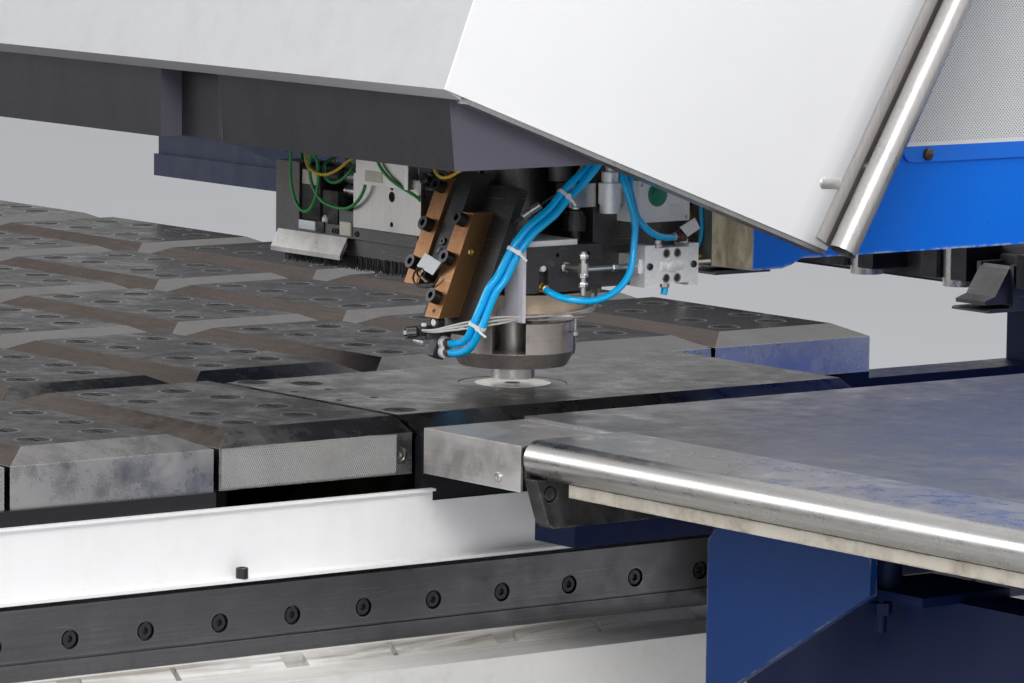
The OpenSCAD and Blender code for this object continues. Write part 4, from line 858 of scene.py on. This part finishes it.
p = Piece("sign_details", "bed", "stainless", "guard")
p.lathe((149.8, 116.6, 1181.7), (151.6, 116.6, 1181.7),
        [(0, 15.5), (1.2, 15.5), (1.6, 14.8), (1.7, 0.3)], 40, "sign_green")
p.lathe((151.3, 116.6, 1181.7), (152.6, 116.6, 1181.7),
        [(0, 9.5), (0.9, 9.2), (1.2, 8.0), (1.3, 0.2)], 32, "sign_green")
for y in (91, 165):
    for z in (1151, 1195):
        p.lathe((149.8, y, z), (151.6, y, z), [(0, 2.6), (0.9, 2.4), (1.6, 0.8)], 16)
p.slab((149.8, 138, 1153), (151.2, 160, 1168), 0.3, "label")
p.done()

# Guard tube: the flat strip beside it, a dark strip of painted shade between strip and tube, and one stud
STRIP_LENGTH = 806
p = Piece("guard_strip", "bed", "stainless", "guard_edge")
lean = Vector((0, *GUARD_LEAN))
out = Vector((0, -GUARD_LEAN[1], GUARD_LEAN[0]))
foot = Vector((330.5, *GUARD_FOOT)) + lean * 3
for near, far, thick, key in ((15, 31, 4, "guard_edge"), (-10, 15, 2.5, "guard_painted_shade")):
    edge = [foot + out * near, foot + out * far,
            foot + out * far + lean * STRIP_LENGTH, foot + out * near + lean * STRIP_LENGTH]
    p.mesh(edge + [q + Vector((thick, 0, 0)) for q in edge], PLATE_FACES, key)
p.lathe((322, 272, 1203), (322, 235, 1205),
        [(0, 11), (31, 11), (34, 9.8), (36.4, 7.4), (37, 3.0)], 28, "guard_edge")
p.done()

# Screws
p = Piece("panel_screws", "bed", "black_oxide", "oxide")
for y in (-594, 21):
    p.socket((250, y, 757.5), (250, y, 771), 7.5)
p.socket((424, -341.8, 882.4), (424, -344.6, 882.4), 6.2, "guard")
for y in (566, 962, 1358):
    p.lathe((164, y, 1217), (170, y, 1217),
            [(0, 8.6), (2, 8.4), (4.4, 7.0), (5.6, 5.0), (5.7, 0.2)], 24, "brown")
p.done()

# Dark rings of painted shade round the table inserts, for the grooves round them: radius and height of each
# edge of their section
RING = [(20.4, 929.3), (20.8, 929.85), (22.6, 929.85), (22.9, 929.3)]
PAD_PITCH = (495, 294)
FRONT_PAD, LEFT_PAD = (-261, -612), (-274, -905)


def rings(name, body, spots, n=22):
    """Dark rings of the section RING round each spot of the table, painted shade for the groove round each
    insert.
    """
    q = Piece(name, body, "black_plastic", "groove_shade")
    for x, y in spots:
        loops = []
        for k in range(n):
            a = 2 * math.pi * k / n
            c, s = math.cos(a), math.sin(a)
            loops.append([(x + c * r, y + s * r, z) for r, z in RING])
        q.rings(loops, None, True)
    q.done()


SPOTS = [(243.5 + s * dx, 143 + dy) for s in (-1, 1) for dx,
         dy in ((160, -59), (70, -47), (136, 47), (53, 67))]
CENTRE = [(-178, -288), (-131, -234), (148, -288)]
rings("flap_rings", "flap", [(x + FRONT_PAD[0], y + FRONT_PAD[1]) for x, y in SPOTS])
rings("bed_rings", "bed",
      [(x + FRONT_PAD[0], y + FRONT_PAD[1] - j * PAD_PITCH[1]) for x, y in SPOTS for j in (1, 2)] + CENTRE)
rings("left_rings", "y_table",
      [(x + LEFT_PAD[0] - i * PAD_PITCH[0] + 8, y + LEFT_PAD[1] + j * PAD_PITCH[1]) for x, y in SPOTS
       for i in range(1, 6) for j in range(6)], 16)

# Knurled edge of the parts flap: rows of four-sided points, every other row half a cell along
p = Piece("flap_knurl", "flap", "pad_steel", "knurl")
nu, nv = 88, 16
y0, y1, z0, z1 = -609.0, -350.0, 864.0, 911.5
face_x, point_x = 226.1, 226.95
cell = ((y1 - y0) / nu, (z1 - z0) / nv)
verts, faces = [], []
for i in range(nu):
    for j in range(nv):
        cy, cz = y0 + (i + 0.5) * cell[0] + (cell[0] / 2 if j % 2 else 0), z0 + (j + 0.5) * cell[1]
        k = len(verts)
        verts += [(face_x, cy - cell[0] / 2, cz), (face_x, cy, cz - cell[1]),
                  (face_x, cy + cell[0] / 2, cz), (face_x, cy, cz + cell[1]), (point_x, cy, cz)]
        faces += [(k, k + 1, k + 4), (k + 1, k + 2, k + 4), (k + 2, k + 3, k + 4),
                  (k + 3, k, k + 4), (k + 3, k + 2, k + 1, k)]
p.mesh(verts, faces)
p.slab((225.4, y0 - 1, z0 - 1.4), (226.15, y1 + 2, z1 + 1), 0.0)
p.done()

# Position rod beside the stripper cup
p = Piece("stripper_rod", "stripper", "tool_steel", "guard")
p.rod((86, 35, 1003), (86, 35, 1020), 2.2, 14)
p.rod((86, 35, 997), (86, 35, 1004), 5.2, 16)
p.rod((84, 35, 974), (84, 35, 998), 1.0, 8, "rubber")
p.slab((72, 33, 1000), (87, 37, 1003), 0.5)
p.done()

# ---------------------------------------------------------------- camera, light and floor
# Lens and angles are rounded values near the fits to the photo's edges, not one fit's result.
# The anchor, on the punch axis, fixes the place.
LENS_PX = 5400.0
YAW, PITCH, ROLL = (math.radians(a) for a in (52.8, 6.6, 0.7))
ANCHOR, ANCHOR_PX, MM_PER_PX = Vector((0, 0, 937)), (512.5, 377.0), 1.30
FRAME_PX = (1024, 683)
SENSOR = 36.0

ahead = Vector((-math.sin(YAW) * math.cos(PITCH), math.cos(YAW) * math.cos(PITCH), -math.sin(PITCH)))
level = Vector((math.cos(YAW), math.sin(YAW), 0))
over = level.cross(ahead)
right = level * math.cos(ROLL) + over * math.sin(ROLL)
down = level * math.sin(ROLL) - over * math.cos(ROLL)
off = [(a - b / 2) / LENS_PX for a, b in zip(ANCHOR_PX, FRAME_PX)]
cam_at = ANCHOR - (ahead + right * off[0] + down * off[1]) * (LENS_PX * MM_PER_PX)

cam_data = bpy.data.cameras.new("camera")
cam_data.sensor_width = SENSOR
cam_data.lens = LENS_PX * SENSOR / FRAME_PX[0]
cam_data.clip_end = 300.0
cam = bpy.data.objects.new("camera", cam_data)
bpy.context.scene.collection.objects.link(cam)
turn = Matrix((right, -down, -ahead)).transposed()
cam.matrix_world = Matrix.Translation(cam_at * MM) @ turn.to_4x4()
bpy.context.scene.camera = cam
bpy.context.scene.view_settings.view_transform = "Standard"


def area_light(name, at, aim, size, power, color=(1, 1, 1)):
    data = bpy.data.lights.new(name, "AREA")
    data.shape = "RECTANGLE"
    data.size, data.size_y = size
    data.energy = power
    data.color = color
    lamp = bpy.data.objects.new(name, data)
    bpy.context.scene.collection.objects.link(lamp)
    lamp.location = at
    lamp.rotation_euler = (Vector(aim) - Vector(at)).to_track_quat("-Z", "Y").to_euler()


area_light("key", (4.5, -3.5, 4.6), (0.2, 0.0, 0.9), (3.0, 2.2), 230, (1.0, 0.985, 0.97))
area_light("fill", (-3.5, -4.5, 3.2), (0.0, 0.0, 0.9), (3.0, 2.5), 110, (0.95, 0.97, 1.0))
area_light("top", (0.5, 0.8, 5.0), (0.3, 0.0, 0.9), (4.0, 3.0), 120)

world = bpy.data.worlds.new("studio")
bpy.context.scene.world = world
world.use_nodes = True
wt = world.node_tree
back = wt.nodes["Background"]
back.inputs["Color"].default_value = (0.93, 0.96, 1.0, 1.0)
back.inputs["Strength"].default_value = 0.45
seen = wt.nodes.new("ShaderNodeBackground")
seen.inputs["Color"].default_value = (1.0, 1.0, 1.0, 1.0)
seen.inputs["Strength"].default_value = 1.0
path = wt.nodes.new("ShaderNodeLightPath")
sees_white = path.outputs["Is Camera Ray"]
for ray in ("Is Glossy Ray", "Is Transmission Ray"):
    either = wt.nodes.new("ShaderNodeMath")
    either.operation = "MAXIMUM"
    wt.links.new(sees_white, either.inputs[0])
    wt.links.new(path.outputs[ray], either.inputs[1])
    sees_white = either.outputs[0]
blend = wt.nodes.new("ShaderNodeMixShader")
wt.links.new(sees_white, blend.inputs[0])
wt.links.new(back.outputs[0], blend.inputs[1])
wt.links.new(seen.outputs[0], blend.inputs[2])
wt.links.new(blend.outputs[0], wt.nodes["World Output"].inputs["Surface"])

FLOOR = 70                       # half the floor's side, metres
floor_mesh = bpy.data.meshes.new("floor")
floor_mesh.from_pydata([(-FLOOR, -FLOOR, 0), (FLOOR, -FLOOR, 0), (FLOOR, FLOOR, 0), (-FLOOR, FLOOR, 0)],
                       [], [(0, 1, 2, 3)])
floor = bpy.data.objects.new("floor", floor_mesh)
bpy.context.scene.collection.objects.link(floor)
ground = Look("pale_floor", 0.7)
floor_mesh.materials.append(ground.close(ground.mix(ground.noise(1.5),
                                                    (0.82, 0.83, 0.84), (0.86, 0.86, 0.87))))
